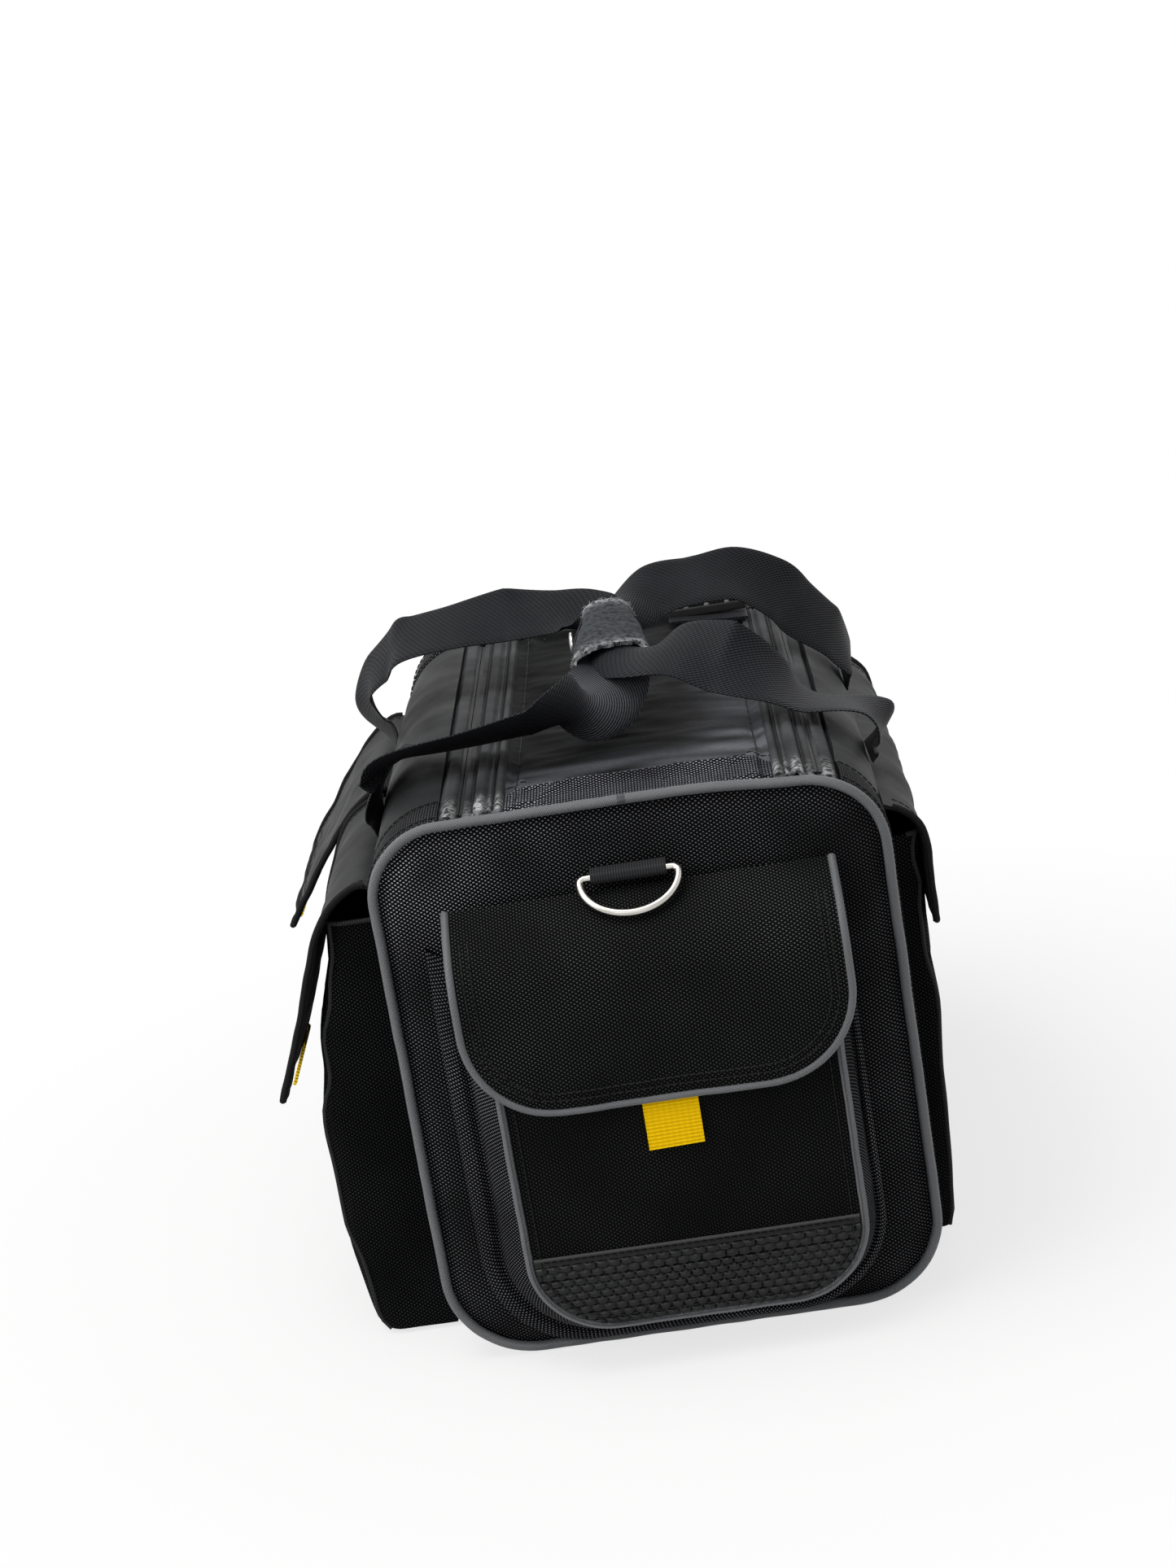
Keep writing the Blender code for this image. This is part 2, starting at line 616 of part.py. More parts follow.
def smooth_route(route):
    """Points and width directions between the route's own, along a Catmull-Rom curve."""
    rows = [(Vector(p), Vector(w).normalized()) for p, w in route]
    last = len(rows) - 1
    result = []
    for i in range(last):
        for k in range(WEB_STEPS):
            t = k / WEB_STEPS
            pair = []
            for part in (0, 1):
                p0, p1 = rows[max(i - 1, 0)][part], rows[i][part]
                p2, p3 = rows[i + 1][part], rows[min(i + 2, last)][part]
                pair.append(0.5 * (2 * p1 + (p2 - p0) * t + (2 * p0 - 5 * p1 + 4 * p2 - p3) * t ** 2
                                   + (3 * p1 - p0 - 3 * p2 + p3) * t ** 3))
            result.append(pair)
    return result + [list(rows[last])]


def ribbon(name, kind, route, origin):
    rows = smooth_route(route)
    sections = []
    for i, (point, width) in enumerate(rows):
        along = rows[min(i + 1, len(rows) - 1)][0] - rows[max(i - 1, 0)][0]
        along.normalize()
        width = (width - along * width.dot(along)).normalized() * WEB_WIDTH / 2
        thick = along.cross(width).normalized() * WEB_THICKNESS / 2
        under, over = point - thick, point + thick
        sections.append([under - width, under + width, over + width, over - width])
    item = skin(name, kind, sections, origin=origin, smooth=True)
    item.modifiers.new('Flat facets', 'TRIANGULATE')


def build_handles():
    seat = HALF + GAP + WEB_THICKNESS / 2
    top = HEIGHT
    flat, wide = (0, 1, 0), (1, 0, 0)
    left = [
        ((-seat, ANCHOR_FRONT, top - WEB_END), flat),
        ((-seat - 0.0004, ANCHOR_FRONT - 0.001, top - 0.018), (0.12, 0.99, 0)),
        ((-seat + 0.009, ANCHOR_FRONT - 0.010, top + 0.0005), (0.06, 0.97, -0.2)),
        ((-0.098, ANCHOR_FRONT - 0.024, top + 0.0085), (-0.03, 0.93, -0.36)),
        ((-0.066, ANCHOR_FRONT - 0.0305, top + 0.0125), (0, 0.90, -0.43)),
        ((-0.038, ANCHOR_FRONT - 0.033, top + 0.0145), (0.06, 0.86, -0.50)),
        ((-0.0165, WRAP_FRONT - 0.0435, top + 0.0205), (0.42, 0.70, -0.56)),
        ((-0.002, WRAP_FRONT - 0.0265, top + 0.020), (0.86, 0.26, -0.42)),
        ((0.002, WRAP_FRONT - 0.005, top + 0.024), (0.98, 0, -0.08)),
        ((0.002, WRAP_FRONT + 0.022, top + WEB_LEVEL_LEFT), wide),
        ((0.002, WRAP_REAR + 0.001, top + WEB_LEVEL_LEFT + 0.001), wide),
        ((-0.010, WRAP_REAR + 0.017, top + 0.033), (0.75, 0.60, 0.20)),
        ((-0.028, WRAP_REAR + 0.023, top + 0.0375), (0.25, 0.88, 0.36)),
        ((-0.050, WRAP_REAR + 0.026, top + 0.0385), (0, 0.85, 0.52)),
        ((-0.078, WRAP_REAR + 0.027, top + 0.037), (-0.05, 0.93, 0.36)),
        ((-0.1025, WRAP_REAR + 0.033, top + 0.0325), (-0.05, 0.95, 0.30)),
        ((-seat + 0.0046, WRAP_REAR + 0.042, top + 0.0235), (-0.12, 0.95, 0.26)),
        ((-seat - 0.0074, WRAP_REAR + 0.051, top + 0.0105), (-0.20, 0.97, 0.05)),
        ((-seat - 0.0104, ANCHOR_REAR - 0.004, top - 0.006), (-0.38, 0.90, -0.20)),
        ((-seat - 0.0054, ANCHOR_REAR - 0.001, top - 0.019), (-0.38, 0.91, -0.15)),
        ((-seat, ANCHOR_REAR, top - WEB_END), flat),
    ]
    right = [
        ((seat, ANCHOR_FRONT, top - WEB_END), flat),
        ((seat + 0.0052, ANCHOR_FRONT, top - 0.0255), (0.08, 0.99, 0)),
        ((seat + 0.0085, ANCHOR_FRONT - 0.003, top - 0.0165), (0.34, 0.92, -0.12)),
        ((seat - 0.0011, ANCHOR_FRONT - 0.005, top - 0.0065), (0.28, 0.94, -0.18)),
        ((seat - 0.025, ANCHOR_FRONT - 0.0085, top + 0.002), (0.20, 0.98, -0.07)),
        ((0.0785, ANCHOR_FRONT - 0.010, top + 0.014), (0.30, 0.91, 0.30)),
        ((0.056, ANCHOR_FRONT - 0.0075, top + 0.028), (0.42, 0.55, 0.72)),
        ((0.036, WRAP_FRONT - 0.017, top + 0.0335), (0.30, 0.85, 0.42)),
        ((0.0175, WRAP_FRONT - 0.008, top + 0.032), (0.75, 0.65, 0.10)),
        ((0.006, WRAP_FRONT + 0.012, top + WEB_LEVEL_RIGHT - 0.001), wide),
        ((0.006, WRAP_REAR + 0.001, top + WEB_LEVEL_RIGHT + 0.0015), wide),
        ((0.0165, WRAP_REAR + 0.016, top + 0.0385), (0.80, -0.55, -0.25)),
        ((0.030, WRAP_REAR + 0.022, top + 0.0415), (0.42, -0.78, -0.45)),
        ((0.050, WRAP_REAR + 0.026, top + 0.042), (-0.02, -0.90, -0.42)),
        ((0.070, WRAP_REAR + 0.030, top + 0.040), (-0.25, -0.85, -0.45)),
        ((0.089, WRAP_REAR + 0.036, top + 0.0285), (-0.42, -0.78, -0.45)),
        ((seat - 0.0185, WRAP_REAR + 0.043, top + 0.0145), (-0.50, -0.80, -0.33)),
        ((seat - 0.0028, WRAP_REAR + 0.050, top - 0.003), (-0.44, -0.88, -0.06)),
        ((seat + 0.0040, ANCHOR_REAR - 0.001, top - 0.0180), (-0.10, -0.99, 0)),
        ((seat, ANCHOR_REAR, top - WEB_END), (0, -1, 0)),
    ]
    hinge_z = SIDE_FLAP_Z
    ribbon('left_strap', 'webbing', left, (-seat, 0, hinge_z))
    ribbon('right_strap', 'webbing', right, (seat, 0, hinge_z))
    build_wrap((-seat, 0, hinge_z))


def build_wrap(hinge):
    radius = (WRAP_HIGH - WRAP_LOW) / 2
    middle = HEIGHT + WRAP_LOW + radius
    left = WRAP_CENTRE - WRAP_HALF + radius
    right = WRAP_CENTRE + WRAP_HALF
    sleeve = [(right, middle + radius)]
    sleeve += arc((left, middle), radius, 90, 270, 2 * ARC_STEPS)
    sleeve.append((right, middle - radius))
    band('grip_wrap', 'suede', sleeve, -WRAP_WALL, across_y, WRAP_FRONT, WRAP_REAR, origin=hinge)
    centre = Vector((left - radius - WRAP_WALL - GAP, (WRAP_FRONT + WRAP_REAR) / 2, middle))
    turns = [2 * math.pi * k / SNAP_SIDES for k in range(SNAP_SIDES)]
    sections = []
    for away, size in ((0, SNAP_RADIUS), (SNAP_EDGE, SNAP_RADIUS), (SNAP_THICKNESS, SNAP_CROWN)):
        ring = [centre + Vector((-away, size * math.cos(t), size * math.sin(t))) for t in turns]
        sections.append(ring)
    skin('wrap_snap', 'nickel', sections, origin=hinge, smooth=True)


clear_scene()
build_carcass()
build_lid()
build_end('front', FRONT)
build_end('rear', REAR)
build_side_pockets()
build_right_pocket()
build_handles()
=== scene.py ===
# Looks for the soft flight bag: cloth panels, pockets, zips, webbing handles and hardware
import math

import bmesh
import bpy
import numpy as np
from mathutils import Matrix, Vector, noise


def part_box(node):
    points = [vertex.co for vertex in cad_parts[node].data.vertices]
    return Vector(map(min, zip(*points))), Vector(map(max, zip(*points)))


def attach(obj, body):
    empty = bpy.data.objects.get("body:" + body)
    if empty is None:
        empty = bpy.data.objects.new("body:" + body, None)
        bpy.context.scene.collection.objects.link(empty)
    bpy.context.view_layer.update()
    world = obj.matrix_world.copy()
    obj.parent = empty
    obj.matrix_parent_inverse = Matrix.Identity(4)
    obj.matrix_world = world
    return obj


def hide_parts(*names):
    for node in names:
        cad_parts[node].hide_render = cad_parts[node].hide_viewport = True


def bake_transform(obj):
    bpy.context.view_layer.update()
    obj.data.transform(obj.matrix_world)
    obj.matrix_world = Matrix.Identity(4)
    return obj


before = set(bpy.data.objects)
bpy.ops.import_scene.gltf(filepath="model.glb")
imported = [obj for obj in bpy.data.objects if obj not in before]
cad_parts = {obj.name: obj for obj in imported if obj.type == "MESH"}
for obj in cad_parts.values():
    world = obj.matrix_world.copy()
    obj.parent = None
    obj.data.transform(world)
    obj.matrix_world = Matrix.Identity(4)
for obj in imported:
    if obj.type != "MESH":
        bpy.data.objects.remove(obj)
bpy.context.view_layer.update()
print('frame:', len(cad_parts), 'nodes')

# The carcass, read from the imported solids
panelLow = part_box('front_end_panel')[0]
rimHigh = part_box('front_piping')[1]
bag = {
    'half': rimHigh.x,
    'height': rimHigh.z,
    'end': -panelLow.y,
    'topRadius': 0.036,
    'bottomRadius': 0.042,
    'piping': 0.0023,
    'gusset': 0.030,
    'seam': 0.0003,
    'slump': 0.0045,  # the top sinks towards its right corner
}
bag['inside'] = bag['end'] - 2 * bag['piping'] - bag['seam']
bag['middle'] = bag['inside'] - bag['gusset'] - bag['seam']


# Small mesh tools

def smoothStep(low, high, value):
    t = np.clip((np.asarray(value, float) - low) / (high - low), 0, 1)
    return t * t * (3 - 2 * t)


def slumped(points):  # the soft top leans down to the right
    moved = np.array(points, float)
    share = smoothStep(0.02, 0.10, moved[..., 0]) * smoothStep(0.16, 0.262, moved[..., 2])
    moved[..., 2] -= bag['slump'] * share
    return moved


def ripple(points, size, seed):
    shift = Vector((seed * 3.1, seed * 1.7, seed * 0.9))
    flat = np.asarray(points, float).reshape(-1, 3)
    values = [noise.noise(Vector(p) / size + shift) for p in flat]
    return np.array(values).reshape(np.asarray(points).shape[:-1])


def reachOf(path):  # distance along a path at each of its points
    return np.concatenate([[0], np.cumsum(np.linalg.norm(np.diff(path, axis=0), axis=1))])


def pathAt(path, reach, places):
    return np.stack([np.interp(places, reach, column) for column in path.T], axis=-1)


def stacked(*parts):
    return np.stack(parts, axis=-1)


def wobble(route, seeds):  # a cord never lies quite straight
    return route + 0.0003 * stacked(*(ripple(route, 0.012, seed) for seed in seeds))


def gridQuads(index):
    quads = stacked(index[:-1, :-1], index[1:, :-1], index[1:, 1:], index[:-1, 1:])
    return quads.reshape(-1, 4)


def addPiece(name, verts, faces, material, uvs=None, wear=None, lining=None, liningFaces=()):
    mesh = bpy.data.meshes.new(name)
    mesh.from_pydata(np.asarray(verts, float).tolist(), [], [list(map(int, f)) for f in faces])
    mesh.materials.append(material)
    if lining:
        mesh.materials.append(lining)
        for i in liningFaces:
            mesh.polygons[i].material_index = 1
    if uvs is not None:
        layer = mesh.uv_layers.new(name='fabric')
        corners = np.zeros(len(mesh.loops), np.int32)
        mesh.loops.foreach_get('vertex_index', corners)
        layer.data.foreach_set('uv', np.asarray(uvs, np.float32)[corners].ravel())
    mark = mesh.attributes.new('wear', 'FLOAT', 'POINT')
    marks = np.zeros(len(verts)) if wear is None else wear
    mark.data.foreach_set('value', np.asarray(marks, np.float32))
    work = bmesh.new()
    work.from_mesh(mesh)
    bmesh.ops.recalc_face_normals(work, faces=work.faces)
    work.to_mesh(mesh)
    work.free()
    mesh.shade_smooth()
    mesh.set_sharp_from_angle(angle=math.radians(50))
    piece = bpy.data.objects.new(name, mesh)
    bpy.context.scene.collection.objects.link(piece)
    return piece


def gridNormals(grid, around=False):
    down = np.gradient(grid, axis=0)
    if around:
        across = np.roll(grid, -1, axis=1) - np.roll(grid, 1, axis=1)
    else:
        across = np.gradient(grid, axis=1)
    normal = np.cross(down, across)
    return normal / np.maximum(np.linalg.norm(normal, axis=2, keepdims=True), 1e-12)


def sheetBody(name, grid, thick, uv, material, lining=None, wear=None):
    # a cloth with two sides and a closed edge; thick runs along the grid's normals
    rows, cols = grid.shape[:2]
    inner = grid + gridNormals(grid) * thick
    verts = np.concatenate([grid.reshape(-1, 3), inner.reshape(-1, 3)])
    index = np.arange(rows * cols).reshape(rows, cols)
    quads = gridQuads(index)
    edge = np.concatenate([index[0, :-1], index[:-1, -1], index[-1, :0:-1], index[:0:-1, 0]])
    after = np.roll(edge, -1)
    count = rows * cols
    rim = stacked(edge, after, after + count, edge + count)
    faces = np.concatenate([quads, quads[:, ::-1] + count, rim])
    uvs = np.tile(uv.reshape(-1, 2), (2, 1))
    marks = None if wear is None else np.tile(wear.reshape(-1), 2)
    inside = range(len(quads), 2 * len(quads))
    return addPiece(name, verts, faces, material, uvs, marks, lining, inside)


def loopBody(name, loops, uvs, material, closed=False, wear=None, lining=None, liningFrom=None):
    # closed loops joined in order and capped, or joined last to first
    loops = np.asarray(loops, float)
    count, sides = loops.shape[:2]
    index = np.arange(count * sides).reshape(count, sides)
    after = np.roll(index, -1, axis=1)
    quads = stacked(index[:-1], after[:-1], after[1:], index[1:]).reshape(-1, 4).tolist()
    if closed:
        quads += stacked(index[-1], after[-1], after[0], index[0]).tolist()
    else:
        quads += [index[0].tolist(), index[-1].tolist()]
    inside = [] if liningFrom is None else range(liningFrom * sides, len(quads))
    marks = None if wear is None else np.asarray(wear).reshape(-1)
    flatUvs = np.asarray(uvs).reshape(-1, 2)
    return addPiece(name, loops.reshape(-1, 3), quads, material, flatUvs, marks, lining, inside)


def tubeBody(name, path, radius, material, sides=14, closed=False, wear=None):
    path = np.asarray(path, float)
    count = len(path)
    if closed:
        along = np.roll(path, -1, axis=0) - np.roll(path, 1, axis=0)
    else:
        along = np.gradient(path, axis=0)
    along /= np.linalg.norm(along, axis=1, keepdims=True)
    side = np.cross(along[0], (0, 0, 1) if abs(along[0][2]) < 0.9 else (1, 0, 0))
    turns = np.linspace(0, 2 * math.pi, sides, endpoint=False)
    size = np.broadcast_to(np.asarray(radius, float), (count,))
    reach = reachOf(path)
    loops, uvs = [], []
    for i in range(count):
        side = side - along[i] * side.dot(along[i])
        side /= np.linalg.norm(side)
        other = np.cross(along[i], side)
        loops.append(path[i] + size[i] * (np.outer(np.cos(turns), side) + np.outer(np.sin(turns), other)))
        uvs.append(stacked(turns * size[i], np.full(sides, reach[i])))
    return loopBody(name, loops, uvs, material, closed, wear)


def smoothPath(points, steps):  # a smooth run through the points, Catmull-Rom
    points = np.asarray(points, float)
    padded = np.concatenate([2 * points[:1] - points[1:2], points, 2 * points[-1:] - points[-2:-1]])
    made = []
    for p0, p1, p2, p3 in zip(padded, padded[1:], padded[2:], padded[3:]):
        for t in np.arange(steps) / steps:
            made.append(0.5 * (2 * p1 + (p2 - p0) * t + (2 * p0 - 5 * p1 + 4 * p2 - p3) * t ** 2
                               + (3 * p1 - p0 - 3 * p2 + p3) * t ** 3))
    return np.array(made + [points[-1]])


def spread(path, step):  # the same path with evenly spaced points
    path = np.asarray(path, float)
    reach = reachOf(path)
    places = np.linspace(0, reach[-1], max(2, int(round(reach[-1] / step)) + 1))
    return pathAt(path, reach, places)


def settle(piece, body, *nodes, slot):
    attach(piece, body)
    if nodes:
        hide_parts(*nodes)


def settleCloth(grid, sewn, slack, cap):  # a sewn sheet with some slack settles by simulation
    rows, cols = grid.shape[:2]
    index = np.arange(rows * cols).reshape(rows, cols)
    quads = gridQuads(index)
    mesh = bpy.data.meshes.new('settling')
    mesh.from_pydata(grid.reshape(-1, 3).tolist(), [], quads.tolist())
    sheet = bpy.data.objects.new('settling', mesh)
    bpy.context.scene.collection.objects.link(sheet)
    group = sheet.vertex_groups.new(name='sewn')
    for spot, hold in enumerate(sewn.reshape(-1)):
        if hold > 0:
            group.add([spot], float(hold), 'REPLACE')
    fall = sheet.modifiers.new('Cloth', 'CLOTH')
    feel = fall.settings
    feel.quality, feel.mass, feel.air_damping = 6, 0.15, 2.0
    feel.tension_stiffness = feel.compression_stiffness = 18.0
    feel.shear_stiffness, feel.bending_stiffness = 6.0, 0.3
    feel.vertex_group_mass = 'sewn'
    feel.shrink_min = -slack
    feel.effector_weights.gravity = 0.25
    fall.point_cache.frame_start, fall.point_cache.frame_end = 1, 20
    for step in range(1, 21):
        bpy.context.scene.frame_set(step)
    shown = sheet.evaluated_get(bpy.context.evaluated_depsgraph_get()).data
    found = np.empty(rows * cols * 3)
    shown.vertices.foreach_get('co', found)
    bpy.context.scene.frame_set(1)
    bpy.data.objects.remove(sheet)
    bpy.data.meshes.remove(mesh)
    moved = found.reshape(rows, cols, 3) - grid
    length = np.linalg.norm(moved, axis=2, keepdims=True)
    print('settled by', round(float(length.max()) * 1000, 1), 'mm')
    return grid + moved * np.minimum(1, cap / np.maximum(length, 1e-9))


# The bag's rounded section, measured from the middle of the top to the left and round

def rimTable():
    half, height, top, bottom = bag['half'], bag['height'], bag['topRadius'], bag['bottomRadius']
    rows = [(0, height, 0, 1)]
    corners = [
        (-half + top, height - top, top, 90), (-half + bottom, bottom, bottom, 180),
        (half - bottom, bottom, bottom, 270), (half - top, height - top, top, 0),
    ]
    for x, z, radius, start in corners:
        for turn in np.radians(np.linspace(start, start + 90, 25)):
            c, s = math.cos(turn), math.sin(turn)
            rows.append((x + radius * c, z + radius * s, c, s))
    rows.append((0, height, 0, 1))
    rows = np.array(rows)
    return reachOf(rows[:, :2]), rows


rimReach, rimRows = rimTable()
rimLength = rimReach[-1]


def rimAt(distance, lift=0.0):
    place = np.mod(np.asarray(distance, float), rimLength)
    x, z, nx, nz = (np.interp(place, rimReach, rimRows[:, k]) for k in range(4))
    return x + nx * lift, z + nz * lift


def rimSurface(distance, y, lift=0.0):
    x, z = rimAt(distance, lift)
    return stacked(x, np.broadcast_to(y, x.shape), z)


def rimGrid(start, end, y0, y1, rows, cols, lift):
    s, y = np.meshgrid(np.linspace(start, end, rows), np.linspace(y0, y1, cols), indexing='ij')
    across = (s - start) / (end - start)
    along = (y - y0) / (y1 - y0)
    flat = rimSurface(s, y)
    grid = rimSurface(s, y, lift(across, along, flat))
    return slumped(grid), stacked(s, y), across, along


# Shader parts

def put(tree, kind, inputs=None, **settings):
    made = tree.nodes.new(kind)
    for name, value in settings.items():
        setattr(made, name, value)
    for name, value in (inputs or {}).items():
        if isinstance(value, bpy.types.NodeSocket):
            tree.links.new(value, made.inputs[name])
        else:
            made.inputs[name].default_value = value
    return made


def calc(tree, operation, a, b=0.0, clamp=False):
    made = put(tree, 'ShaderNodeMath', {0: a, 1: b}, operation=operation)
    made.use_clamp = clamp
    return made.outputs[0]


def mixColour(tree, share, a, b):
    made = put(tree, 'ShaderNodeMix', data_type='RGBA', clamp_factor=False)
    for socket, value in ((made.inputs[0], share), (made.inputs[6], a), (made.inputs[7], b)):
        if isinstance(value, bpy.types.NodeSocket):
            tree.links.new(value, socket)
        else:
            socket.default_value = value if isinstance(value, float) else (*value, 1)
    return made.outputs[2]


def ranged(tree, value, low, high, toLow=0.0, toHigh=1.0):
    inputs = {0: value, 1: low, 2: high, 3: toLow, 4: toHigh}
    return put(tree, 'ShaderNodeMapRange', inputs, clamp=True).outputs[0]


def cloudy(tree, place, scale, detail):
    return put(tree, 'ShaderNodeTexNoise', {'Vector': place, 'Scale': scale, 'Detail': detail}).outputs[0]


def newGroup(name, inputs, outputs):
    tree = bpy.data.node_groups.new(name, 'ShaderNodeTree')
    for label, kind in inputs.items():
        tree.interface.new_socket(name=label, in_out='INPUT', socket_type=kind)
    for label in outputs:
        tree.interface.new_socket(name=label, in_out='OUTPUT', socket_type='NodeSocketFloat')
    return tree, tree.nodes.new('NodeGroupInput').outputs, tree.nodes.new('NodeGroupOutput').inputs


def makeWeaveGroup():  # crossed yarns: masks for the yarn crowns, which carry a painted highlight, and for the gaps between them, painted dark as shade
    tree, given, result = newGroup('crossed yarns', {
        'Vector': 'NodeSocketVector', 'Pitch': 'NodeSocketFloat'}, ('Height', 'Crown'))
    parts = put(tree, 'ShaderNodeSeparateXYZ', {0: given['Vector']}).outputs
    turn = calc(tree, 'DIVIDE', math.pi, given['Pitch'])
    waves = [calc(tree, 'SINE', calc(tree, 'MULTIPLY', calc(tree, 'MULTIPLY', parts[k], share), turn))
             for k, share in ((0, 0.86), (1, 1.22))]  # the yarns lie closer up and down than across
    crossed = calc(tree, 'MULTIPLY', *waves)
    height = calc(tree, 'POWER', calc(tree, 'ABSOLUTE', crossed), 0.6)
    crown = ranged(tree, crossed, 0.25, 0.92)
    tree.links.new(height, result['Height'])
    tree.links.new(crown, result['Crown'])
    return tree


def makeRibGroup():  # parallel ribs at a slant, as in webbing, grosgrain and cord covers
    tree, given, result = newGroup('slanted ribs', {
        'Vector': 'NodeSocketVector', 'Pitch': 'NodeSocketFloat', 'Slant': 'NodeSocketFloat'}, ('Height',))
    turned = put(tree, 'ShaderNodeVectorRotate', {'Vector': given['Vector'], 'Angle': given['Slant']},
                 rotation_type='Z_AXIS').outputs[0]
    along = put(tree, 'ShaderNodeSeparateXYZ', {0: turned}).outputs[1]
    turns = calc(tree, 'DIVIDE', calc(tree, 'MULTIPLY', along, 2 * math.pi), given['Pitch'])
    wave = calc(tree, 'SINE', turns)
    tree.links.new(ranged(tree, wave, -1.0, 1.0), result['Height'])
    return tree


def makeMottleGroup():  # soft patches of use, and small specks of lint
    tree, given, result = newGroup('mottle', {
        'Vector': 'NodeSocketVector', 'Patch size': 'NodeSocketFloat', 'Speck size': 'NodeSocketFloat'},
        ('Patches', 'Specks'))
    for label, detail, low, high in (('Patch size', 3.0, 0.3, 0.7), ('Speck size', 1.0, 0.70, 0.78)):
        scale = calc(tree, 'DIVIDE', 1.0, given[label])
        shaped = ranged(tree, cloudy(tree, given['Vector'], scale, detail), low, high)
        tree.links.new(shaped, result['Patches' if label == 'Patch size' else 'Specks'])
    return tree


weaveGroup, ribGroup, mottleGroup = makeWeaveGroup(), makeRibGroup(), makeMottleGroup()


def useGroup(tree, group, **inputs):
    made = put(tree, 'ShaderNodeGroup', node_tree=group)
    for label, value in inputs.items():
        socket = made.inputs[label.replace('_', ' ')]
        if isinstance(value, bpy.types.NodeSocket):
            tree.links.new(value, socket)
        else:
            socket.default_value = value
    return made.outputs


def newMaterial(name, **sockets):
    material = bpy.data.materials.new(name)
    material.use_nodes = True
    tree = material.node_tree
    shader = tree.nodes['Principled BSDF']
    for label, value in sockets.items():
        shader.inputs[label.replace('_', ' ')].default_value = value
    return material, tree, shader.inputs


def clothUv(tree):
    return put(tree, 'ShaderNodeUVMap', uv_map='fabric').outputs[0]


def objectPlace(tree):
    return put(tree, 'ShaderNodeTexCoord').outputs['Object']


# the per-point mark: real wear and scuffs on some pieces, painted highlight and painted shade on others
def wearAndPaintedLightMark(tree):
    return put(tree, 'ShaderNodeAttribute', attribute_name='wear').outputs['Fac']


def bump(tree, height, distance, strength=1.0, under=None):
    inputs = {'Height': height, 'Distance': distance, 'Strength': strength}
    if under is not None:
        inputs['Normal'] = under
    return put(tree, 'ShaderNodeBump', inputs).outputs[0]


weavePitch = 0.00115


def makeBallistic(name, gap, yarn, crownHighlight):
    material, tree, shader = newMaterial(name, Specular_IOR_Level=0.03)
    yarns = useGroup(tree, weaveGroup, Vector=clothUv(tree), Pitch=weavePitch)
    patches = useGroup(tree, mottleGroup, Vector=objectPlace(tree), Patch_size=0.05, Speck_size=0.0011)
    mottled = ranged(tree, patches['Patches'], 0.0, 1.0, 0.25, 1.0)
    # painted highlight on the yarn crowns: it varies in random patches and grows with the per-point mark
    shine = calc(tree, 'ADD', mottled, calc(tree, 'MULTIPLY', wearAndPaintedLightMark(tree), 3.0))
    bright = calc(tree, 'MULTIPLY', yarns['Crown'], shine)
    # the gaps between the yarns are painted darker as shade
    body = mixColour(tree, yarns['Height'], gap, yarn)
    tree.links.new(mixColour(tree, bright, body, crownHighlight), shader['Base Color'])
    tree.links.new(ranged(tree, yarns['Crown'], 0.0, 1.0, 0.72, 0.46), shader['Roughness'])
    tree.links.new(bump(tree, yarns['Height'], 0.00035, 0.9), shader['Normal'])
    return material


def makeCoated(name, dark, light, rubbedAndPaintedLight, cracked, shine=0.07):
    material, tree, shader = newMaterial(name, Specular_IOR_Level=shine)
    place = objectPlace(tree)
    patches = useGroup(tree, mottleGroup, Vector=place, Patch_size=0.03, Speck_size=0.0012)
    fine = useGroup(tree, ribGroup, Vector=clothUv(tree), Pitch=0.0011, Slant=0.0)
    body = mixColour(tree, patches['Patches'], dark, light)
    linted = mixColour(tree, calc(tree, 'MULTIPLY', patches['Specks'], 0.10), body, (0.3, 0.3, 0.3))
    creases = cloudy(tree, place, 420.0, 4.0)
    broken = ranged(tree, creases, 0.42, 0.60, 1 - cracked, 1.0)
    # pale scuffs on the zip tapes; on the lid the same mix lays pale dust and a painted sheen
    scuffsAndSheen = calc(tree, 'MULTIPLY', wearAndPaintedLightMark(tree), broken)
    tree.links.new(mixColour(tree, scuffsAndSheen, linted, rubbedAndPaintedLight), shader['Base Color'])
    tree.links.new(ranged(tree, patches['Patches'], 0.0, 1.0, 0.60, 0.46), shader['Roughness'])
    soft = bump(tree, fine['Height'], 0.00008, 0.5)
    tree.links.new(bump(tree, creases, 0.0005, 0.25, soft), shader['Normal'])
    return material


def makeWebbing(name, dark, light, pitch, slant, gloss, shine=0.07):
    material, tree, shader = newMaterial(name, Specular_IOR_Level=shine)
    uv = clothUv(tree)
    ribs = useGroup(tree, ribGroup, Vector=uv, Pitch=pitch, Slant=slant)
    cross = useGroup(tree, ribGroup, Vector=uv, Pitch=pitch * 1.6, Slant=slant + math.pi / 2)
    patches = useGroup(tree, mottleGroup, Vector=objectPlace(tree), Patch_size=0.02, Speck_size=0.0010)
    shares = (ribs, 0.75), (cross, 0.25)
    both = calc(tree, 'ADD', *(calc(tree, 'MULTIPLY', rib['Height'], share) for rib, share in shares))
    body = mixColour(tree, calc(tree, 'POWER', both, 1.5), dark, light)
    worn = mixColour(tree, calc(tree, 'MULTIPLY', patches['Patches'], 0.15), body, light)
    # painted sheen: the mark lifts the rib tops towards a pale bluish sheen, and where it is negative
    # darkens them as painted shade
    shiny = calc(tree, 'MULTIPLY', wearAndPaintedLightMark(tree), ribs['Height'])
    tree.links.new(mixColour(tree, shiny, worn, (0.2, 0.205, 0.225)), shader['Base Color'])
    tree.links.new(ranged(tree, both, 0.0, 1.0, gloss + 0.2, gloss), shader['Roughness'])
    tree.links.new(bump(tree, both, 0.0003, 0.8), shader['Normal'])
    return material


